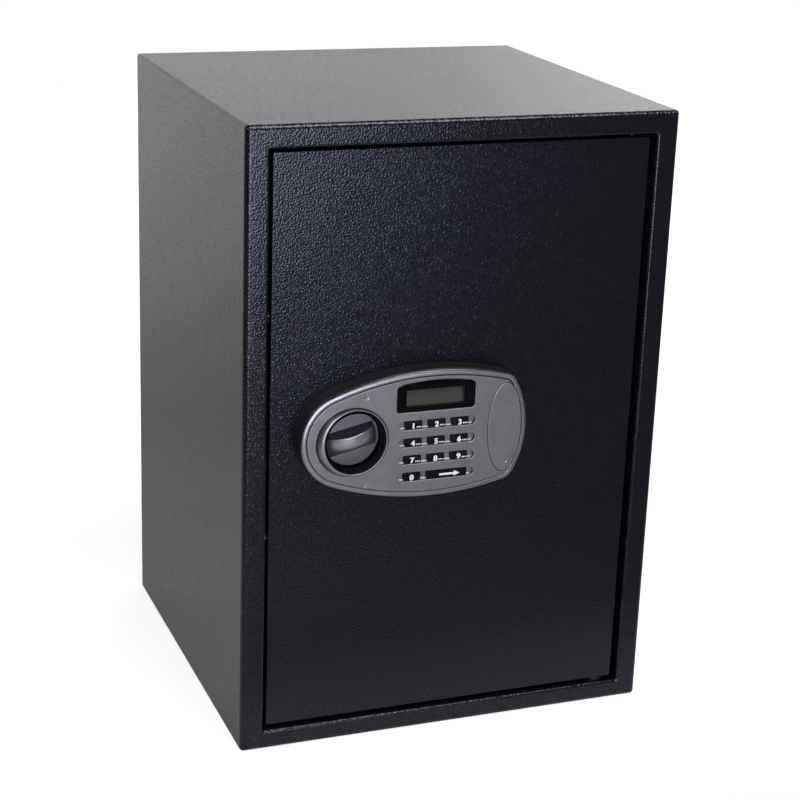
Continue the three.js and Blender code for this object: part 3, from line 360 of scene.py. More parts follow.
# Painted shade of the groove and of the collar's foot, in one dark tone
def recess_painted_shade(look):
    return look.math("MAXIMUM", collar_tone_and_foot_shade(look), groove_painted_shade(look)), (0.03, 0.032, 0.042)


# Painted highlight on the proud part of the grip, below its crest
def grip_crown_highlight(look):
    mask = look.ramp(look.axis("Y"), (KNOB_FRONT - 15) * MM, (KNOB_FRONT - 5) * MM, 1.0, 0.0)
    return mask, (0.42, 0.412, 0.41)


# Painted shade on the grip's steep upper wall
def grip_wall_shade(look):
    across = look.math("MULTIPLY", look.offset("X", KNOB_X), -math.sin(GRIP_TILT))
    up = look.math("MULTIPLY", look.offset("Z", LOCK_Z), math.cos(GRIP_TILT))
    wall = look.ramp(look.math("ADD", across, up), (GRIP_UPPER - 1.5) * MM, (GRIP_UPPER - 1.2) * MM)
    off_disc = look.ramp(look.axis("Y"), (KNOB_FRONT - 0.4) * MM, (KNOB_FRONT - 0.1) * MM, 1.0, 0.0)
    return look.math("MULTIPLY", wall, off_disc), (0.045, 0.05, 0.07)


def flake_paint(name, dark, light, rough, metal, grain=0.5, shades=()):
    look = Look(name)
    flakes = look.math("MULTIPLY", look.cells(1100, "Color"), 0.4)
    haze = look.ramp(look.noise(70, 3, 0.6), 0.3, 0.7, 0.0, 0.45)
    peel = look.bump(look.noise(620, 2, 0.5), grain * 0.25, 0.00005)
    return look.surface(
        color=look.tinted(look.blend(look.math("ADD", flakes, haze), dark, light), shades),
        rough=look.ramp(look.noise(500, 2), 0.3, 0.7, rough - 0.02, rough + 0.03),
        metal=metal,
        normal=look.bump(look.noise(1500, 1), grain * 0.2, 0.00003, peel),
    )


def felt(name):
    look = Look(name)
    fibre = look.noise(1400, 4, 0.7, look.stretch(1, 0.35, 1))
    cross = look.noise(1200, 4, 0.7, look.stretch(0.35, 1, 1))
    fuzz = look.math("ADD", fibre, cross)
    return look.surface(
        color=look.blend(look.ramp(fuzz, 0.7, 1.3), (0.008, 0.008, 0.009), (0.035, 0.035, 0.038)),
        rough=0.95,
        normal=look.bump(fuzz, 0.7, 0.0006),
        Sheen_Weight=0.4,
    )


def turned_steel(name):
    look = Look(name)
    rings = look.noise(2200, 2, 0.5, look.stretch(1, 0.02, 0.02))
    stain = look.noise(120, 4, 0.6)
    return look.surface(
        color=look.blend(look.ramp(stain, 0.3, 0.7), (0.42, 0.42, 0.43), (0.66, 0.66, 0.67)),
        rough=look.ramp(rings, 0.3, 0.7, 0.16, 0.3),
        metal=1.0,
        normal=look.bump(rings, 0.12, 0.00005),
    )


def winding(name):
    look = Look(name)
    turns = look.wave(1100, "Z", 0.4)
    tape = look.noise(300, 3, 0.6)
    return look.surface(
        color=look.blend(look.ramp(turns, 0.1, 0.9), (0.12, 0.03, 0.01), (0.5, 0.17, 0.06)),
        rough=look.ramp(tape, 0.3, 0.7, 0.3, 0.5),
        metal=0.6,
        normal=look.bump(turns, 0.8, 0.0002),
    )


def liquid_crystal(name):
    look = Look(name)
    x, z = look.axis("X"), look.axis("Z")
    # Painted shadow of the window's frame along the glass's right edge, and painted shade towards its top
    right = (DISPLAY_X + DISPLAY_W / 2) * MM
    edge = look.ramp(x, right - 0.004, right - 0.0012, 0.0, 1.0)
    shade = look.math("ADD", edge, look.ramp(z, DISPLAY_Z * MM, (DISPLAY_Z + 6.5) * MM, 0.0, 0.35))
    cloud = look.math("MULTIPLY", look.noise(160, 2), 0.12)
    tint = look.blend(look.math("ADD", shade, cloud), (0.058, 0.055, 0.045), (0.008, 0.008, 0.0075))
    rows = look.wave(900, "Z")
    return look.surface(
        color=tint,
        rough=look.ramp(rows, 0, 1, 0.2, 0.26),
        normal=look.bump(look.noise(700, 2), 0.03, 0.00003),
        Coat_Weight=0.5,
        Coat_Roughness=0.08,
    )


def board(name):
    look = Look(name)
    tracks = look.node("ShaderNodeTexBrick")
    look.put(tracks.inputs["Vector"], look.place)
    tracks.inputs["Scale"].default_value = 260
    mixed = look.ramp(look.cells(420), 0.1, 0.5)
    return look.surface(
        color=look.blend(mixed, (0.012, 0.09, 0.04), (0.03, 0.2, 0.09)),
        rough=look.ramp(look.noise(300), 0.3, 0.7, 0.3, 0.45),
        normal=look.bump(tracks.outputs["Fac"], 0.3, 0.00006),
    )


def cell_jacket(name):
    look = Look(name)
    along = look.axis("X")
    band = look.math("GREATER_THAN", look.math("ABSOLUTE", along), 0.0135)
    scuff = look.noise(500, 3, 0.6)
    return look.surface(
        color=look.blend(band, (0.012, 0.013, 0.015), (0.55, 0.32, 0.11)),
        rough=look.ramp(scuff, 0.3, 0.7, 0.22, 0.38),
        metal=look.ramp(band, 0, 1, 0.15, 0.85),
        normal=look.bump(scuff, 0.08, 0.00004),
    )


def paint_looks():
    silver = {
        "face_silver": ((0.262, 0.255, 0.258), (0.365, 0.357, 0.36), 0.3, 0.75, 0.5, (recess_painted_shade,)),
        "cover_silver": ((0.218, 0.214, 0.217), (0.31, 0.305, 0.308), 0.34, 0.7),
        "knob_grey": ((0.17, 0.166, 0.166), (0.225, 0.22, 0.22), 0.33, 0.75, 0.25, (grip_crown_highlight, grip_wall_shade)),
    }
    plastic = {
        # Nylon black all over, so the hinge bushes stay dark in the door's gap: painted shade
        "nylon": ((0.011, 0.011, 0.011), (0.019, 0.019, 0.018), 0.42),
        "housing_black": (
            (0.0085, 0.0081, 0.0078), (0.0145, 0.0135, 0.013), 0.42, 1500, 0.25, (unlit_well,), well_shine,
        ),
        "display_black": ((0.002, 0.002, 0.0023), (0.0035, 0.0035, 0.004), 0.12, 900, 0.03, (), 0.25),
        "key_black": ((0.0025, 0.0024, 0.0024), (0.0045, 0.0043, 0.0042), 0.3, 1800, 0.2, (), 0.2),
        "key_mat": ((0.14, 0.14, 0.14), (0.22, 0.22, 0.22), 0.3, 700, 0.12, (lit_strip,)),
        "tray_black": ((0.01, 0.01, 0.0105), (0.017, 0.017, 0.0175), 0.45, 1100, 0.4),
        "button_red": ((0.35, 0.012, 0.01), (0.48, 0.022, 0.018), 0.3, 900, 0.1),
    }
    metal = {
        "zinc_plate": ((0.62, 0.63, 0.64), (0.4, 0.41, 0.43), 0.34, (hinge_gap_shade,)),
        "plug_brass": ((0.68, 0.48, 0.2), (0.46, 0.3, 0.11), 0.3),
    }
    plain = {
        "floor_felt": felt,
        "bolt_steel": turned_steel,
        "coil_winding": winding,
        "display_glass": liquid_crystal,
        "board_green": board,
        "cell_jacket": cell_jacket,
    }
    looks = {"powder_coat": powder_coat("powder_coat", (0.0050, 0.0053, 0.0079), (0.0073, 0.0077, 0.0112))}
    for build, group in ((flake_paint, silver), (moulded, plastic), (plated, metal)):
        looks.update({name: build(name, *values) for name, values in group.items()})
    looks.update({name: build(name) for name, build in plain.items()})
    return looks


LOOKS = paint_looks()
INK = moulded("white_ink", (0.78, 0.78, 0.78), (0.88, 0.88, 0.88), 0.45, 1500, 0.1)


# Outlines in x and z, as lists of points
def arc(x, z, r, start, end, steps):
    turn = [start + (end - start) * i / steps for i in range(steps)]
    return [(x + r * math.cos(a), z + r * math.sin(a)) for a in turn]


def egg(inset=0.0):
    drop = math.sqrt((FLANK_R - END_R) ** 2 - (FLANK_X - END_X) ** 2)
    base = NOSE_X - FLANK_X
    span = math.hypot(base, drop)
    to_flank, to_nose = FLANK_R - CORNER_R, NOSE_R - CORNER_R
    reach = (to_flank**2 - to_nose**2 + span**2) / (2 * span)
    side = math.sqrt(to_flank**2 - reach**2)
    ux, uz = base / span, drop / span
    cx = FLANK_X + ux * reach + uz * side
    cz = -drop + uz * reach - ux * side
    flank_end = math.atan2(drop, END_X - FLANK_X)
    flank_start = math.atan2(cz + drop, cx - FLANK_X)
    nose = math.atan2(cz, cx - NOSE_X)
    return (
        arc(NOSE_X, PANEL_Z, NOSE_R - inset, -nose, nose, 28)
        + arc(cx, PANEL_Z + cz, CORNER_R - inset, nose, flank_start, 12)
        + arc(FLANK_X, PANEL_Z - drop, FLANK_R - inset, flank_start, flank_end, 40)
        + arc(END_X, PANEL_Z, END_R - inset, flank_end, 2 * math.pi - flank_end, 56)
        + arc(FLANK_X, PANEL_Z + drop, FLANK_R - inset, -flank_end, -flank_start, 40)
        + arc(cx, PANEL_Z - cz, CORNER_R - inset, -flank_start, -nose, 12)
    )


def rectangle(x0, x1, z0, z1, r, steps=6):
    q = math.pi / 2
    corners = ((x1 - r, z0 + r, -q), (x1 - r, z1 - r, 0), (x0 + r, z1 - r, q), (x0 + r, z0 + r, 2 * q))
    points = []
    for x, z, start in corners:
        points += arc(x, z, r, start, start + q, steps)
        points.append((x + r * math.cos(start + q), z + r * math.sin(start + q)))
    return points


def grown(box, grow, r, steps=6):
    x0, x1, z0, z1 = box
    return rectangle(x0 - grow, x1 + grow, z0 - grow, z1 + grow, r, steps)


def circle(x, z, r, steps=72):
    return arc(x, z, r, 0, 2 * math.pi, steps)


def oval(x, z, a, b, steps=96):
    turn = [2 * math.pi * i / steps for i in range(steps)]
    return [(x + a * math.cos(t), z + b * math.sin(t)) for t in turn]


def slot_outline(z, grow=0.0):
    r = SLOT_H / 2
    half = SLOT_W / 2 - r
    q = math.pi / 2
    right = arc(PAD_X + half, z, r + grow, -q, q, 20) + [(PAD_X + half, z + r + grow)]
    left = arc(PAD_X - half, z, r + grow, q, 3 * q, 20) + [(PAD_X - half, z - r - grow)]
    return right + left


def window_outline(inset=0.0):
    half, low, shoulder = WINDOW_HALF - inset, WINDOW_LOW + inset, WINDOW_SHOULDER - inset
    r = WINDOW_CORNER - inset
    arch_r = (half**2 + WINDOW_ARCH**2) / (2 * WINDOW_ARCH)
    rise = math.asin((half - r) / arch_r)
    q = math.pi / 2
    return (
        arc(DISPLAY_X + half - r, low + r, r, -q, 0, 8)
        + arc(DISPLAY_X + half - r, shoulder - r, r, 0, q - rise, 8)
        + arc(DISPLAY_X, shoulder + WINDOW_ARCH - arch_r, arch_r, q - rise, q + rise, 30)
        + arc(DISPLAY_X - half + r, shoulder - r, r, q + rise, 2 * q, 8)
        + arc(DISPLAY_X - half + r, low + r, r, 2 * q, 3 * q, 9)
    )


def foot_outline(grow=0.0):
    return oval(FOOT_X, FOOT_Z, FOOT_A + grow, FOOT_B + grow, 120)


def cover_outline(grow=0.0):
    return oval(OVERRIDE_X, LOCK_Z, COVER_A + grow, COVER_B + grow)


# Rounded edge as a quarter turn: share of its radius inwards and outwards at each step
def quarter(steps, first=0):
    turn = [math.pi / 2 * i / steps for i in range(first, steps + 1)]
    return [(1 - math.cos(t), 1 - math.sin(t)) for t in turn]


# Meshes in metres from rows of points, lofted outlines and turned profiles
def skinned(lines, loop=False):
    bm = bmesh.new()
    rows = [[bm.verts.new((x * MM, y * MM, z * MM)) for x, y, z in line] for line in lines]
    pairs = list(zip(rows, rows[1:])) + ([(rows[-1], rows[0])] if loop else [])
    for a, b in pairs:
        for i in range(len(a)):
            j = (i + 1) % len(a)
            bm.faces.new((a[i], a[j], b[j], b[i]))
    if not loop:
        bm.faces.new(rows[0])
        bm.faces.new(rows[-1])
    bmesh.ops.recalc_face_normals(bm, faces=bm.faces)
    return bm


def loft(rings, loop=False):
    return skinned([[(x, y, z) for x, z in points] for points, y in rings], loop)


def straight(points, front, rear):
    return loft([(points, front), (points, rear)])


def turned(x, z, profile, steps=96, loop=False):
    return loft([(circle(x, z, max(r, 1e-4), steps), y) for r, y in profile], loop)


def rounded(shape, front, rear, r, steps=6, rear_round=0.0):
    rings = [(shape(r * inner), front + r * outer) for inner, outer in reversed(quarter(steps))]
    if rear_round:
        rings += [(shape(rear_round * inner), rear - rear_round * outer) for inner, outer in quarter(steps)]
    else:
        rings.append((shape(0), rear))
    return loft(rings)


def cutter(shape, rear, edge=0.3, front=FACE):
    rings = [(shape(0), rear), (shape(0), front + edge)]
    rings += [(shape(edge * inner), front + edge * outer) for inner, outer in quarter(4, 1)]
    rings.append((shape(edge + 0.02), front - 1))
    return loft(rings)


def mesh_of(bm, name="form"):
    mesh = bpy.data.meshes.new(name)
    bm.to_mesh(mesh)
    bm.free()
    return mesh


def merged(*forms):
    bm = bmesh.new()
    for form in forms:
        mesh = mesh_of(form)
        bm.from_mesh(mesh)
        bpy.data.meshes.remove(mesh)
    return bm


def carved(form, *tools):
    base = bpy.data.objects.new("carved", mesh_of(form))
    bpy.context.scene.collection.objects.link(base)
    used = []
    for tool in tools:
        obj = bpy.data.objects.new("tool", mesh_of(tool))
        bpy.context.scene.collection.objects.link(obj)
        modifier = base.modifiers.new("cut", "BOOLEAN")
        modifier.object = obj
        modifier.operation = "DIFFERENCE"
        modifier.solver = "EXACT"
        used.append(obj)
    evaluated = base.evaluated_get(bpy.context.evaluated_depsgraph_get())
    bm = bmesh.new()
    bm.from_mesh(evaluated.to_mesh())
    for obj in (base, *used):
        mesh = obj.data
        bpy.data.objects.remove(obj)
        bpy.data.meshes.remove(mesh)
    return bm


def moved(form, x=0, y=0, z=0):
    form.transform(Matrix.Translation((x * MM, y * MM, z * MM)))
    return form


# The mesh that a curve object makes, as a form of its own
def evaluated_form(obj):
    bpy.context.scene.collection.objects.link(obj)
    bpy.context.view_layer.update()
    bm = bmesh.new()
    bm.from_mesh(obj.evaluated_get(bpy.context.evaluated_depsgraph_get()).to_mesh())
    curve = obj.data
    bpy.data.objects.remove(obj)
    bpy.data.curves.remove(curve)
    return bm


# A form lofted along y, turned to stand along z
def upright(form):
    form.transform(Matrix(((1, 0, 0, 0), (0, 0, 1, 0), (0, 1, 0, 0), (0, 0, 0, 1))))
    bmesh.ops.recalc_face_normals(form, faces=form.faces)
    return form


# A form as a named piece that rides on its body
def piece(name, form, body, slot, nodes=(), material=None, angle=32, weighted=True):
    mesh = mesh_of(form, name)
    obj = bpy.data.objects.new(name, mesh)
    bpy.context.scene.collection.objects.link(obj)
    mesh.materials.append(material or LOOKS[slot])
    mesh.shade_smooth()
    mesh.set_sharp_from_angle(angle=math.radians(angle))
    if weighted:
        modifier = obj.modifiers.new("flat faces", "WEIGHTED_NORMAL")
        modifier.keep_sharp = True
        modifier.weight = 80
    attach(obj, body)
    if nodes:
        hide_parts(*nodes)
    return obj


# Cabinet: folded sheet, lofted as one loop round its section
def shell_section():
    outer = (-WIDTH / 2, WIDTH / 2, 0, HEIGHT)
    rings = [(grown(outer, -SOFT, EDGE_BEND), BACK), (grown(outer, 0, EDGE_BEND), BACK - SOFT)]
    for inner, outward in quarter(8):
        inset = FRONT_BEND * inner
        corner = max(EDGE_BEND + 0.6 - inset * 0.6, SOFT)
        rings.append((grown(outer, -inset, corner), FRONT + FRONT_BEND * outward))
    for inner, outward in quarter(6):
        grow = LIP_BEND * outward
        rings.append((grown(OPENING, grow, OPENING_CORNER + grow), FRONT + LIP_BEND * inner))
    return rings + [
        (grown(OPENING, 0, OPENING_CORNER), LIP_BACK - SHEET_EDGE),
        (grown(OPENING, SHEET_EDGE, OPENING_CORNER), LIP_BACK),
        (grown(OPENING, SHEET - SHEET_EDGE, 3), LIP_BACK),
        (grown(OPENING, SHEET, 3), LIP_BACK - SHEET_EDGE),
        (grown(OPENING, SHEET, 3), FRONT + SHEET),
        (grown(outer, -SHEET - 0.5, 1.5), FRONT + SHEET),
        (grown(outer, -SHEET, 1), FRONT + SHEET + 0.5),
        (grown(outer, -SHEET, 1), BACK - SHEET_EDGE),
        (grown(outer, -SHEET + SHEET_EDGE, 1 + SHEET_EDGE), BACK),
    ]


def cabinet_shell():
    base = (-1, SHEET + 1)
    sill = (OPENING[2] - SHEET - 1, OPENING[2] + 1)
    lintel = (OPENING[3] - 1, OPENING[3] + SHEET + 1)
    holes = [
        moved(upright(straight(circle(x, 0, r, 48), low, high)), y=y)
        for x, y, r, (low, high) in (
            (-ANCHOR_X, ANCHOR_Y, ANCHOR_R, base),
            (ANCHOR_X, ANCHOR_Y, ANCHOR_R, base),
            (*PIVOT, PIN_HOLE_R, sill),
            (*PIVOT, PIN_HOLE_R, lintel),
        )
    ]
    return carved(loft(shell_section(), loop=True), *holes)


piece("cabinet_shell", cabinet_shell(), "cabinet", "powder_coat", ["body_shell"])


# Door plate with softened edges, drilled behind the panel
def door_slab():
    slab = rounded(lambda s: grown(DOOR, -s, OPENING_CORNER), DOOR_FACE, DOOR_REAR, 0.8, 5, 0.5)
    drills = [straight(circle(*hole), DOOR_FACE - 1, DOOR_REAR + 1) for hole in DOOR_HOLES]
    return carved(slab, *drills)


piece("door_slab", door_slab(), "door", "powder_coat", ["door_plate"])


# Lock panel: black housing with the well's sleeve, and the silver face with its collar
def housing():
    floor_front = DOOR_FACE - HOUSING_FLOOR
    walls = loft(
        [
            (egg(SOFT), DOOR_FACE - SEAT_GAP),
            (egg(0), DOOR_FACE - SOFT),
            (egg(0), FACE_REAR + SOFT),
            (egg(SOFT), FACE_REAR + SEAT_GAP),
            (egg(HOUSING_WALL), FACE_REAR + SEAT_GAP),
            (egg(HOUSING_WALL), floor_front),
            (egg(HOUSING_WALL), DOOR_FACE - SEAT_GAP),
        ],
        loop=True,
    )
    floor = straight(egg(HOUSING_WALL - 0.1), floor_front, DOOR_FACE - 0.05)
    drills = [straight(circle(*hole), DOOR_FACE - 4, DOOR_FACE + 1) for hole in DOOR_HOLES]
    outer = WELL_R + WELL_WALL
    sleeve = turned(
        KNOB_X,
        LOCK_Z,
        [
            (WELL_R, floor_front + 0.1),
            (WELL_R, CREST + 1.1),
            (WELL_R + 0.2, CREST + 0.7),
            (WELL_R + 0.6, CREST + 0.5),
            (outer - 0.2, CREST + 0.5),
            (outer, CREST + 0.7),
            (outer, floor_front + 0.1),
        ],
        120,
        loop=True,
    )
    return merged(walls, carved(floor, *drills), sleeve)


piece("panel_back", housing(), "door", "housing_black", ["panel_housing"])


def face_plate():
    rings = [(egg(inset), FACE_REAR - y) for inset, y in ((0.9, 0), (0.7, 0.25), (0.2, 0.8))]
    rings.append((egg(0), RIM_WIDEST))
    rings += [(egg(RIM_ROUND * inner), FACE + (RIM_WIDEST - FACE) * outer) for inner, outer in quarter(16, 1)]
    rings += [(egg(inset), FACE + y) for inset, y in GROOVE]
    through = FACE_REAR + 1
    tools = [cutter(lambda g, z=z: slot_outline(z, g), through, SLOT_EDGE) for z in ROWS]
    tools += [
        cutter(lambda g: window_outline(-g), through, WINDOW_EDGE),
        cutter(lambda g: cover_outline(COVER_GAP + g), FACE + COVER_THICK, COVER_EDGE),
        straight(oval(OVERRIDE_X, LOCK_Z, LOCK_HOLE_A, LOCK_HOLE_B), FACE, through),
        straight(circle(KNOB_X, LOCK_Z, COLLAR_INNER + 0.05, 120), FACE - 2, through),
        loft([(foot_outline(g), FACE + y) for g, y in DITCH], loop=True),
    ]
    for side in (-1, 1):
        z = DIMPLE_Z + side * DIMPLE_OUT
        tools.append(turned(DIMPLE_X, z, [(r, FACE + y) for r, y in FACE_DIMPLE], 32))
    return merged(carved(loft(rings), *tools), collar())


# Collar round the well: from an oval foot, standing steep, it rounds over to the crest
def collar():
    rings = [(circle(KNOB_X, LOCK_Z, COLLAR_INNER, 120), FACE + 2)]
    for r, y in COLLAR_LIP:
        rings.append((oval(KNOB_X, LOCK_Z, COLLAR_INNER + r, COLLAR_INNER + COLLAR_TALL + r, 120), CREST + y))
    crest = (KNOB_X, LOCK_Z, COLLAR_OUTER, COLLAR_OUTER + COLLAR_TALL)
    foot = (FOOT_X, FOOT_Z, FOOT_A, FOOT_B)
    crest_y = CREST + COLLAR_LIP[-1][1]
    for inner, outer in quarter(12, 1):
        x, z, a, b = (start + (end - start) * (1 - outer) for start, end in zip(crest, foot))
        rings.append((oval(x, z, a, b, 120), crest_y + (FACE - CREST) * inner))
    rings.append((foot_outline(), FACE + 2))
    return loft(rings, loop=True)


piece("panel_front", face_plate(), "door", "face_silver", ["panel_face"])


# Display window with its opening, and the glass behind it
def display_frame():
    half_w, half_h = DISPLAY_W / 2, DISPLAY_H / 2
    opening = (DISPLAY_X - half_w, DISPLAY_X + half_w, DISPLAY_Z - half_h, DISPLAY_Z + half_h)
    lens = rounded(lambda s: window_outline(LENS_GAP + s), LENS_FRONT, LENS_REAR, LENS_ROUND, 5)
    return carved(lens, cutter(lambda g: grown(opening, g, 0.6 + g), LENS_REAR + 1.5, 0.35, LENS_FRONT))


piece("display_frame", display_frame(), "door", "display_black", ["display_window"])


# Keys with digits, three bars in place of letters, and an arrow on the wide key
def key_cap(w):
    box = (-w / 2, w / 2, -KEY_H / 2, KEY_H / 2)
    return rounded(lambda s: grown(box, -s, max(KEY_CORNER - s, 0.3)), KEY_FRONT, KEY_REAR, KEY_ROUND)


def mark(name, body, x, z, form):
    return piece(name, moved(form, x, 0, z), body, None, material=INK, weighted=False)


def digit(text):
    curve = bpy.data.curves.new("digit", "FONT")
    curve.body = text
    curve.size = DIGIT_SIZE * MM
    curve.offset = 0.025 * curve.size
    curve.extrude = 0.03 * MM
    curve.align_x = "CENTER"
    curve.align_y = "CENTER"
    curve.resolution_u = 6
    bm = evaluated_form(bpy.data.objects.new("digit", curve))
    low = Vector([min(v.co[i] for v in bm.verts) for i in range(3)])
    high = Vector([max(v.co[i] for v in bm.verts) for i in range(3)])
    bm.transform(Matrix.Translation(-(low + high) / 2))
    bm.transform(Matrix.Rotation(math.pi / 2, 4, "X"))
    strokes = [moved(bm.copy(), DIGIT_STROKE * i, KEY_FRONT - 0.02 + 0.004 * i) for i in (-1, 0, 1)]
    bm.free()
    return merged(*strokes)


def inked(points):
    return straight(points, KEY_FRONT - INK_DEPTH, KEY_FRONT + INK_DEPTH)


def arrow():
    head, tip, tail, half, barb = 3.6, 8.6, -8.6, 0.85, 2.2
    upper = [(head, barb), (head, half), (tail, half)]
    lower = [(tail, -half), (head, -half), (head, -barb)]
    return inked(lower + [(tip, 0)] + upper)


def bars():
    width, height, step = 0.9, 1.2, 1.4
    x, z = 2.1, -2.3
    starts = [x + step * i for i in range(3)]
    return merged(*[inked(rectangle(start, start + width, z, z + height, 0.3, 4)) for start in starts])


def keypad():
    keys = [(f"key_{n}", (n - 1) % 3 - 1, (n - 1) // 3, KEY_W) for n in range(1, 10)]
    keys += [("key_0", -1, 3, KEY_W), ("key_enter", 0.5, 3, KEY_W + KEY_PITCH)]
    for name, column, row, w in keys:
        x, z = PAD_X + column * KEY_PITCH, ROWS[row]
        piece(f"{name}_cap", moved(key_cap(w), x, 0, z), name, "key_black", [name])
        if name == "key_enter":
            mark("key_enter_arrow", name, x + 2.2, z - 0.5, arrow())
            continue
        mark(f"{name}_digit", name, x - 0.5, z - 0.65, digit(name[-1]))
        if name != "key_0":
            mark(f"{name}_pips", name, x, z, bars())


keypad()


# Oval cover of the override lock
def oval_cover():
    lid = rounded(lambda s: cover_outline(-s), FACE, FACE + COVER_THICK, 0.8, 6, 0.2)
    dimple = [(r, FACE + y) for r, y in COVER_DIMPLE]
    lid = carved(lid, turned(OVERRIDE_X + 2, LOCK_Z - COVER_B + 8, dimple, 24))
    near, far = cover_outline(-6.4), cover_outline(-8)
    skirt_front, skirt_rear = FACE + COVER_THICK - 0.1, FACE_REAR + 1.5
    skirt = loft([(near, skirt_front), (near, skirt_rear), (far, skirt_rear), (far, skirt_front)], loop=True)
    return merged(lid, skirt)


piece("oval_cover", oval_cover(), "key_cover", "cover_silver", ["keyhole_cover"])


# Knob: disc with a finger grip whose crest is an arc and whose lower face runs out to a chord
def knob_disc():
    profile = [(0, 0)] + [(KNOB_R - inset, y) for inset, y in KNOB_EDGE] + [(0, KNOB_EDGE[-1][1])]
    return turned(0, 0, [(r, KNOB_FRONT + y) for r, y in profile], 120)


# Section of the grip across its length, as height above the axis and height off the disc
def grip_section(rise):
    lean = rise / GRIP_RISE
    line = [(GRIP_UPPER, -GRIP_ROOT), (GRIP_UPPER, 0)]
    line += [(GRIP_UPPER - 1.3 * lean * t, rise * t) for t in (0.25, 0.5, 0.75, 0.9)]
    crest_z, crest_r = GRIP_UPPER - 2.2 * lean, 0.9 * lean
    for k in range(7):
        a = math.radians(5 + 125 * k / 6)
        line.append((crest_z + crest_r * math.cos(a), rise - crest_r + crest_r * math.sin(a)))
    start_z, start_h = line[-1]
    for k in range(1, 19):
        t = k / 18
        line.append((start_z + (GRIP_LOWER - start_z) * t, start_h * (1 - t**2.8)))
    return line + [(GRIP_LOWER, -GRIP_ROOT)]


def knob():
    swell = (GRIP_HALF**2 + GRIP_RISE**2) / (2 * GRIP_RISE)
    stations = 72
    rows = []
    for i in range(stations + 1):
        u = -math.cos(math.pi * i / stations)
        sag = swell - math.sqrt(max(swell**2 - (u * GRIP_HALF - GRIP_PEAK_X) ** 2, 0))
        row = []
        for z, h in grip_section(max(GRIP_RISE - sag, 0.02)):
            reach = math.sqrt(max(GRIP_HALF**2 - z**2, 0))
            row.append((u * reach, KNOB_FRONT - h, z))
        rows.append(row)
    made = merged(knob_disc(), skinned(rows))
    made.transform(Matrix.Rotation(-GRIP_TILT, 4, "Y"))
    return moved(made, KNOB_X, 0, LOCK_Z)


piece("knob_head", knob(), "knob", "knob_grey", ["knob"], angle=40)


# Small fasteners: cross-head screws of the inner cover
def screw(x, y, z, r):
    head = turned(0, 0, [(r * share, height) for share, height in SCREW_DOME], 32)
    arm, slit = r * 0.55, 0.45
    cross = [straight(rectangle(-a, a, -b, b, 0.2, 2), 1.0, 3.0) for a, b in ((arm, slit), (slit, arm))]
    return moved(carved(head, *cross), x, y, z)


def cover_screws():
    spots = [(x, z) for z in SCREW_ROWS for x in SCREW_COLUMNS]
    spots += [(SCREW_MIDDLE, z) for z in (SCREW_ROWS[0], SCREW_ROWS[-1])]
    for number, (x, z) in enumerate(spots, 1):
        piece(f"cover_screw_{number}", screw(x, COVER_REAR, z, SCREW_R), "door", "zinc_plate")


cover_screws()


# Battery contacts: a conical spring for each cell
def spring(x, y, z, direction):
    curve = bpy.data.curves.new("spring", "CURVE")
    curve.dimensions = "3D"
    curve.bevel_depth = 0.35 * MM
    curve.bevel_resolution = 2
    curve.resolution_u = 2
    steps, turns = 80, 4
    line = curve.splines.new("POLY")
    line.points.add(steps - 1)
    for i, point in enumerate(line.points):
        t = i / (steps - 1)
        a = 2 * math.pi * turns * t
        r = 4.2 - 1.8 * t
        place = Vector((x + direction * 2.6 * t, y + r * math.cos(a), z + r * math.sin(a))) * MM
        point.co = (*place, 1)
    return evaluated_form(bpy.data.objects.new("spring", curve))


def battery_springs():
    low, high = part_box("battery_cell_1")
    y = (low.y + high.y) / 2 / MM
    contacts = []
    for row in range(4):
        side = -1 if row % 2 else 1
        contacts.append(spring(side * CONTACT_X, y, CELL_Z + (row - 1.5) * CELL_PITCH, -side))
    return merged(*contacts)


piece("battery_springs", battery_springs(), "door", "zinc_plate", weighted=False)


# CAD nodes that stay: softened edges and their slot's material
def carry(name, slot, width=0.25):
    obj = NODES[name]
    mesh = obj.data
    mesh.materials.clear()
    mesh.materials.append(LOOKS[slot])
    for attribute in ("custom_normal", "sharp_edge", "sharp_face"):
        if attribute in mesh.attributes:
            mesh.attributes.remove(mesh.attributes[attribute])
    mesh.shade_smooth()
    weld = obj.modifiers.new("weld", "WELD")
    weld.merge_threshold = 1e-5
    bevel = obj.modifiers.new("edges", "BEVEL")
    bevel.width = width * MM
    bevel.segments = 2
    bevel.limit_method = "ANGLE"
    bevel.angle_limit = math.radians(35)
    bevel.harden_normals = True
    bevel.use_clamp_overlap = True


for subpart in frame["record"]["subparts"]:
    if not NODES[subpart["node"]].hide_render:
        carry(subpart["node"], subpart["material_slot"])


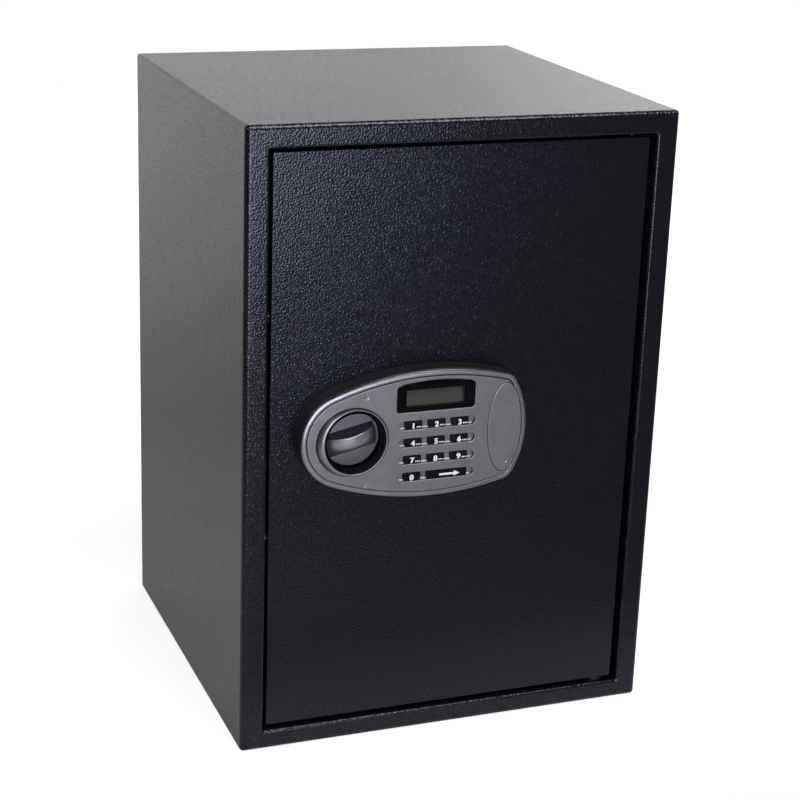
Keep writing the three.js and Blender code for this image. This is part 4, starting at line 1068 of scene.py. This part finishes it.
# Floor: pale and lifted to white for the camera, graded by distance behind the cabinet for reflections
def floor_look():
    look = Look("pale_floor")
    path = look.node("ShaderNodeLightPath").outputs
    seen, glossy = path["Is Camera Ray"], path["Is Glossy Ray"]
    behind = look.axis("Y")
    grain = look.ramp(look.noise(30, 3), 0.3, 0.7)
    white = look.blend(grain, (0.9, 0.9, 0.9), (0.93, 0.93, 0.93))
    near = look.blend(look.ramp(behind, -0.3, -0.05), (0.24, 0.24, 0.25), (0.92, 0.92, 0.92))
    graded = look.blend(look.ramp(behind, 0.2, 0.6), near, (0.5, 0.49, 0.48))
    look.surface(color=look.blend(seen, graded, white), rough=0.8)
    far = look.math("ADD", look.ramp(behind, 0.65, 1.4, 0.15, 0.45), look.ramp(behind, 1.4, 2.3, 0.0, 0.16))
    away = look.ramp(look.reach("X", 0, "Y", 0), 0.45, 1.2, 0.74, 0.98)
    lift = look.node("ShaderNodeEmission")
    look.put(lift.inputs["Color"], look.blend(seen, (1, 0.97, 0.98), (1, 1, 1)))
    strength = look.math("ADD", look.math("MULTIPLY", seen, away), look.math("MULTIPLY", glossy, far))
    look.put(lift.inputs["Strength"], strength)
    total = look.node("ShaderNodeAddShader")
    look.put(total.inputs[0], look.shader.outputs["BSDF"])
    look.put(total.inputs[1], lift.outputs["Emission"])
    look.put(look.tree.nodes["Material Output"].inputs["Surface"], total.outputs["Shader"])
    return look.material


def floor():
    sheet = moved(upright(straight(circle(0, 0, FLOOR_R, 96), -1, 0)), 0, FLOOR_Y, -FLOOR_DROP)
    obj = bpy.data.objects.new("studio_floor", mesh_of(sheet))
    obj.data.materials.append(floor_look())
    bpy.context.scene.collection.objects.link(obj)


floor()


# Soft lamps: place, target and size in metres, power in watts
def area_light(name, place, target, size, power, color=(1, 1, 1)):
    data = bpy.data.lights.new(name, "AREA")
    data.shape = "DISK"
    data.size = size
    data.energy = power
    data.color = color
    obj = bpy.data.objects.new(name, data)
    obj.location = place
    obj.rotation_mode = "QUATERNION"
    obj.rotation_quaternion = (Vector(target) - Vector(place)).to_track_quat("-Z", "Y")
    bpy.context.scene.collection.objects.link(obj)


area_light("key_light", (-1.1, -0.95, 1.5), (0, -0.1, 0.3), 0.7, 5.5)
area_light("overhead_light", (0.35, -0.6, 1.75), (0, -0.15, 0.25), 0.9, 12)
area_light("front_light", (-0.17, -1.95, 0.42), (-0.05, -0.17, 0.32), 1.3, 24, (0.81, 0.84, 1.0))


# World: white for the camera; for the rest a bright wall behind, dark overhead, a weak glow low at the left
def studio_world():
    world = bpy.data.worlds.new("studio")
    bpy.context.scene.world = world
    world.use_nodes = True
    world.node_tree.nodes.clear()
    sky = Graph(world.node_tree)
    ray = sky.split(sky.node("ShaderNodeTexCoord").outputs["Generated"])
    seen = sky.node("ShaderNodeLightPath").outputs["Is Camera Ray"]
    wall = sky.ramp(ray["Y"], 0.2, 0.75, 0.06, 0.84, "SMOOTHSTEP")
    ceiling = sky.ramp(ray["Z"], 0.5, 0.72, 1.0, 0.08, "SMOOTHSTEP")
    right = sky.ramp(ray["X"], 0.36, 0.46, 1.0, 1.65, "SMOOTHSTEP")
    low = sky.ramp(ray["Z"], -0.5, -0.3, 0.43, 0.0, "SMOOTHSTEP")
    left = sky.ramp(ray["X"], 0.26, 0.46, 1.25, 0.1)
    upper = sky.math("MULTIPLY", sky.math("MULTIPLY", wall, ceiling), right)
    level = sky.math("ADD", upper, sky.math("MULTIPLY", low, left))
    light = sky.node("ShaderNodeBackground")
    sky.put(light.inputs["Color"], sky.blend(seen, (1, 0.98, 1), (1, 1, 1)))
    sky.put(light.inputs["Strength"], sky.mix(seen, level, 1.0))
    sky.put(sky.node("ShaderNodeOutputWorld").inputs["Surface"], light.outputs["Background"])


studio_world()


# Camera: azimuth from the front, elevation over the floor, and roll about its own axis
def camera():
    angles = (CAMERA_AZIMUTH, CAMERA_ELEVATION, CAMERA_ROLL)
    azimuth, elevation, roll = (math.radians(angle) for angle in angles)
    back = Vector((
        math.sin(azimuth) * math.cos(elevation),
        -math.cos(azimuth) * math.cos(elevation),
        math.sin(elevation),
    ))
    right = (-back).cross(Vector((0, 0, 1))).normalized()
    up = right.cross(-back)
    side = right * math.cos(roll) + up * math.sin(roll)
    top = up * math.cos(roll) - right * math.sin(roll)
    data = bpy.data.cameras.new("photo_camera")
    data.sensor_width = SENSOR_WIDTH
    data.lens = LENS
    data.clip_start, data.clip_end = 0.05, 50
    obj = bpy.data.objects.new("photo_camera", data)
    turn = Matrix((side, top, back)).transposed()
    obj.matrix_world = Matrix.Translation(CAMERA_PLACE) @ turn.to_4x4()
    bpy.context.scene.collection.objects.link(obj)
    bpy.context.scene.camera = obj


camera()
bpy.context.scene.view_settings.view_transform = "Standard"
